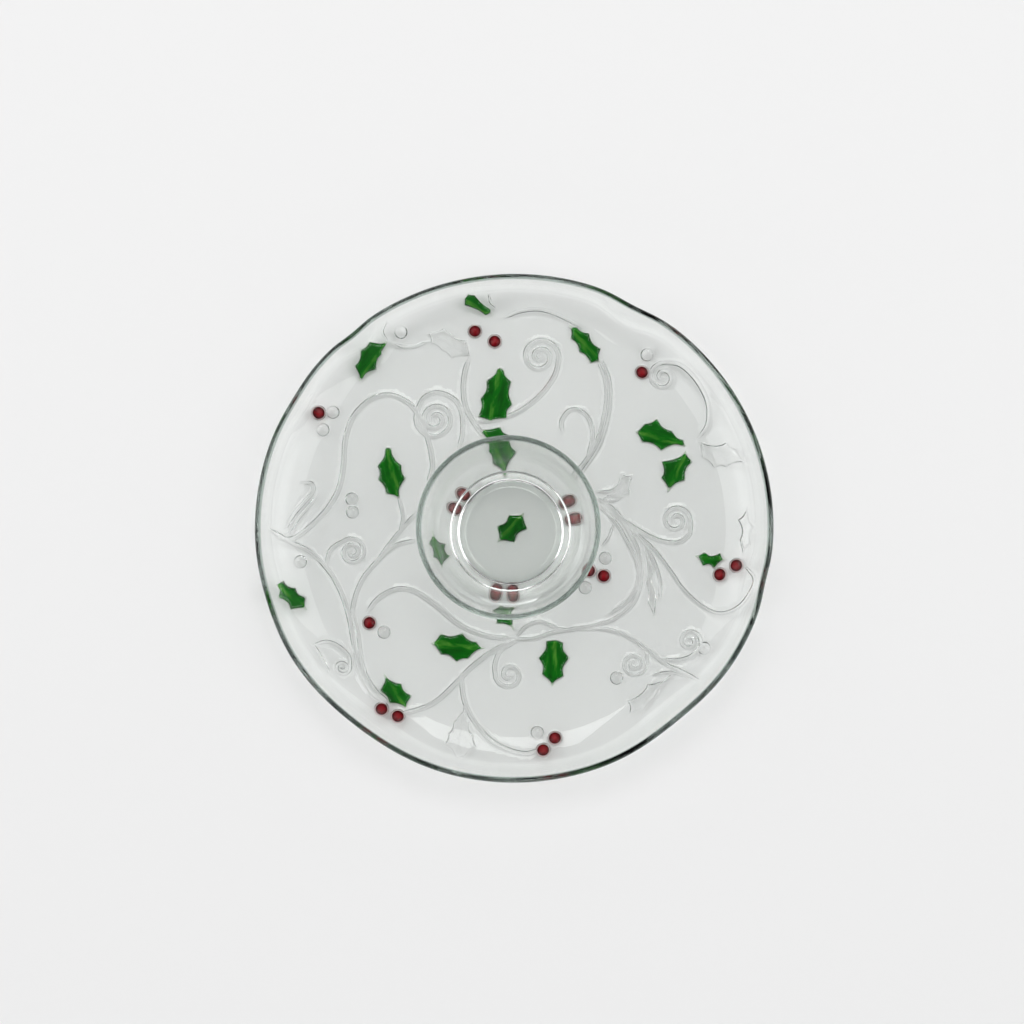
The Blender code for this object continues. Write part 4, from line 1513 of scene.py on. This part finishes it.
@dataclass(frozen=True)
class Studio:
    """A pale floor, soft boxes at both sides and the back, a dark room and the camera above.

    The boxes' faces are hidden from reflections, as they are behind a dulling screen, so that the glass
    isn't veiled. The room's own strips of light draw the streaks on the glass.

    Attributes:
        room: the light that comes from all round, as the sine of the elevation and the light there.
        strips: the light that both strips add, in the same way.
        strip_reach: where a strip fades in, as the share of its direction that points sideways.
    """

    floor_size: float = 6.0
    floor_gap: float = 0.5 * MM
    floor_colour: float = 0.82
    box_distance: float = 4.0
    side_rise: float = math.radians(48.0)
    side_size: float = 3.6
    side_power: float = 74.0
    back_rise: float = math.radians(57.0)
    back_size: float = 2.0
    back_power: float = 48.0
    camera_place: tuple[float, float, float] = (0.0527, -0.0997, 1.250)
    camera_aim: tuple[float, float, float] = (-0.0013, 0.0103, 0.0)
    lens: float = 68.06
    sensor: float = 36.0
    clip: tuple[float, float] = (0.05, 20.0)
    room: tuple[tuple[float, float], ...] = ((0.0, 1.3), (0.28, 1.3), (0.4, 0.14), (0.85, 0.1), (0.97, 0.02))
    strips: tuple[tuple[float, float], ...] = ((0.42, 0.0), (0.5, 0.7), (0.66, 0.7), (0.76, 0.0))
    strip_reach: tuple[float, float] = (0.9, 0.98)
    bounces: int = 24
    glossy_bounces: int = 12

    def floor(self) -> None:
        """Lays the floor just under the platter."""
        half = self.floor_size / 2
        corners = np.array([(-half, -half), (half, -half), (half, half), (-half, half)])
        floor = new_piece("floor", np.column_stack([corners, np.full(4, -self.floor_gap)]), [(0, 1, 2, 3)])
        made, shader = new_material("matt paper")
        feed(made.node_tree, shader, {
            "Base Color": (*[self.floor_colour] * 3, 1.0), "Roughness": 1.0, "Specular IOR Level": 0.0})
        floor.data.materials.append(made)

    def room_light(self) -> None:
        """Sets the room: light near the floor, dark above, with a strip of light on either side."""
        world = bpy.data.worlds.new("studio room")
        bpy.context.scene.world = world
        world.use_nodes = True
        tree = world.node_tree
        way = add_node(tree, "ShaderNodeTexCoord").outputs["Generated"]
        split = add_node(tree, "ShaderNodeSeparateXYZ", {0: way}).outputs
        flat = vector_maths(tree, "MULTIPLY", way, FLATTENED)
        length = add_node(tree, "ShaderNodeVectorMath", {0: flat}, operation="LENGTH").outputs["Value"]
        share = maths(tree, "DIVIDE", maths(tree, "ABSOLUTE", split["X"]), length)
        room, strips = (
            colour_ramp(tree, split["Z"], [(sine, (light, light, light, 1.0)) for sine, light in stops])
            for stops in (self.room, self.strips))
        sides = maths(tree, "MULTIPLY", strips, smooth_range(tree, share, *self.strip_reach))
        feed(tree, tree.nodes["Background"], {"Color": maths(tree, "ADD", room, sides)})

    def soft_box(self, name: str, azimuth: float, rise: float, size: float, power: float) -> None:
        """Hangs a square soft box that faces the platter, unseen in reflections.

        Args:
            name: the light's name.
            azimuth: its direction round the platter, from +X.
            rise: its elevation.
            size: its side in metres.
            power: its power in watts.
        """
        data = bpy.data.lights.new(name, "AREA")
        data.shape, data.size, data.energy = "SQUARE", size, power
        light = bpy.data.objects.new(name, data)
        toward = Vector((
            math.cos(rise) * math.cos(azimuth), math.cos(rise) * math.sin(azimuth), math.sin(rise)))
        light.location = toward * self.box_distance
        light.rotation_mode = "QUATERNION"
        light.rotation_quaternion = toward.to_track_quat("Z", "Y")
        light.visible_glossy = False
        light.visible_camera = False
        bpy.context.scene.collection.objects.link(light)

    def camera(self) -> None:
        """Sets the camera high above the platter."""
        data = bpy.data.cameras.new("camera")
        data.lens, data.sensor_width = self.lens, self.sensor
        data.clip_start, data.clip_end = self.clip
        camera = bpy.data.objects.new("camera", data)
        bpy.context.scene.collection.objects.link(camera)
        back = (Vector(self.camera_place) - Vector(self.camera_aim)).normalized()
        right = Vector((0.0, 1.0, 0.0)).cross(back).normalized()
        turn = Matrix((right, back.cross(right), back)).transposed()
        camera.location = self.camera_place
        camera.rotation_mode = "QUATERNION"
        camera.rotation_quaternion = turn.to_quaternion()
        bpy.context.scene.camera = camera

    def look(self) -> None:
        """Keeps the tones plain and lets light pass the many glass walls."""
        scene = bpy.context.scene
        scene.view_settings.view_transform = "Standard"
        scene.cycles.max_bounces = self.bounces
        scene.cycles.transmission_bounces = self.bounces
        scene.cycles.glossy_bounces = self.glossy_bounces
        scene.cycles.blur_glossy = 0.0

    def build(self) -> None:
        """Sets up the whole studio."""
        self.floor()
        self.room_light()
        self.soft_box("right box", 0.0, self.side_rise, self.side_size, self.side_power)
        self.soft_box("left box", math.pi, self.side_rise, self.side_size, self.side_power)
        self.soft_box("back box", math.pi / 2, self.back_rise, self.back_size, self.back_power)
        self.camera()
        self.look()


# ---------------------------------------------------------------- the whole


def main() -> None:
    """Builds the server round its frame."""
    logging.basicConfig(level=logging.INFO, format="%(message)s")
    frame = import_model()
    leaves = sorted(name for name in frame["nodes"] if name.startswith("leaf_enamel"))
    berries = sorted(name for name in frame["nodes"] if name.startswith("berry_enamel"))
    loops = {name: softened(top_outline(frame["nodes"][name]), OUTLINE_STEP) for name in leaves}
    centres = np.array([[(low + high) / 2 / MM for low, high in zip(*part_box(name))][:2] for name in berries])
    relief = Relief(list(loops.values()), centres)
    platter, blank = Platter(relief).build()
    LOG.info("%s: %d faces", platter.name, len(platter.data.polygons))
    for piece in EnamelLeaves(loops, relief).build(blank):
        LOG.info("%s: %d faces", piece.name, len(piece.data.polygons))
    drops = EnamelBerries(berries, relief).build(blank)
    LOG.info("%s: %d faces", drops.name, len(drops.data.polygons))
    bpy.data.objects.remove(blank, do_unlink=True)
    bowl = DipBowl().build()
    LOG.info("%s: %d faces", bowl.name, len(bowl.data.polygons))
    Studio().build()


if __name__ == "__main__":
    main()
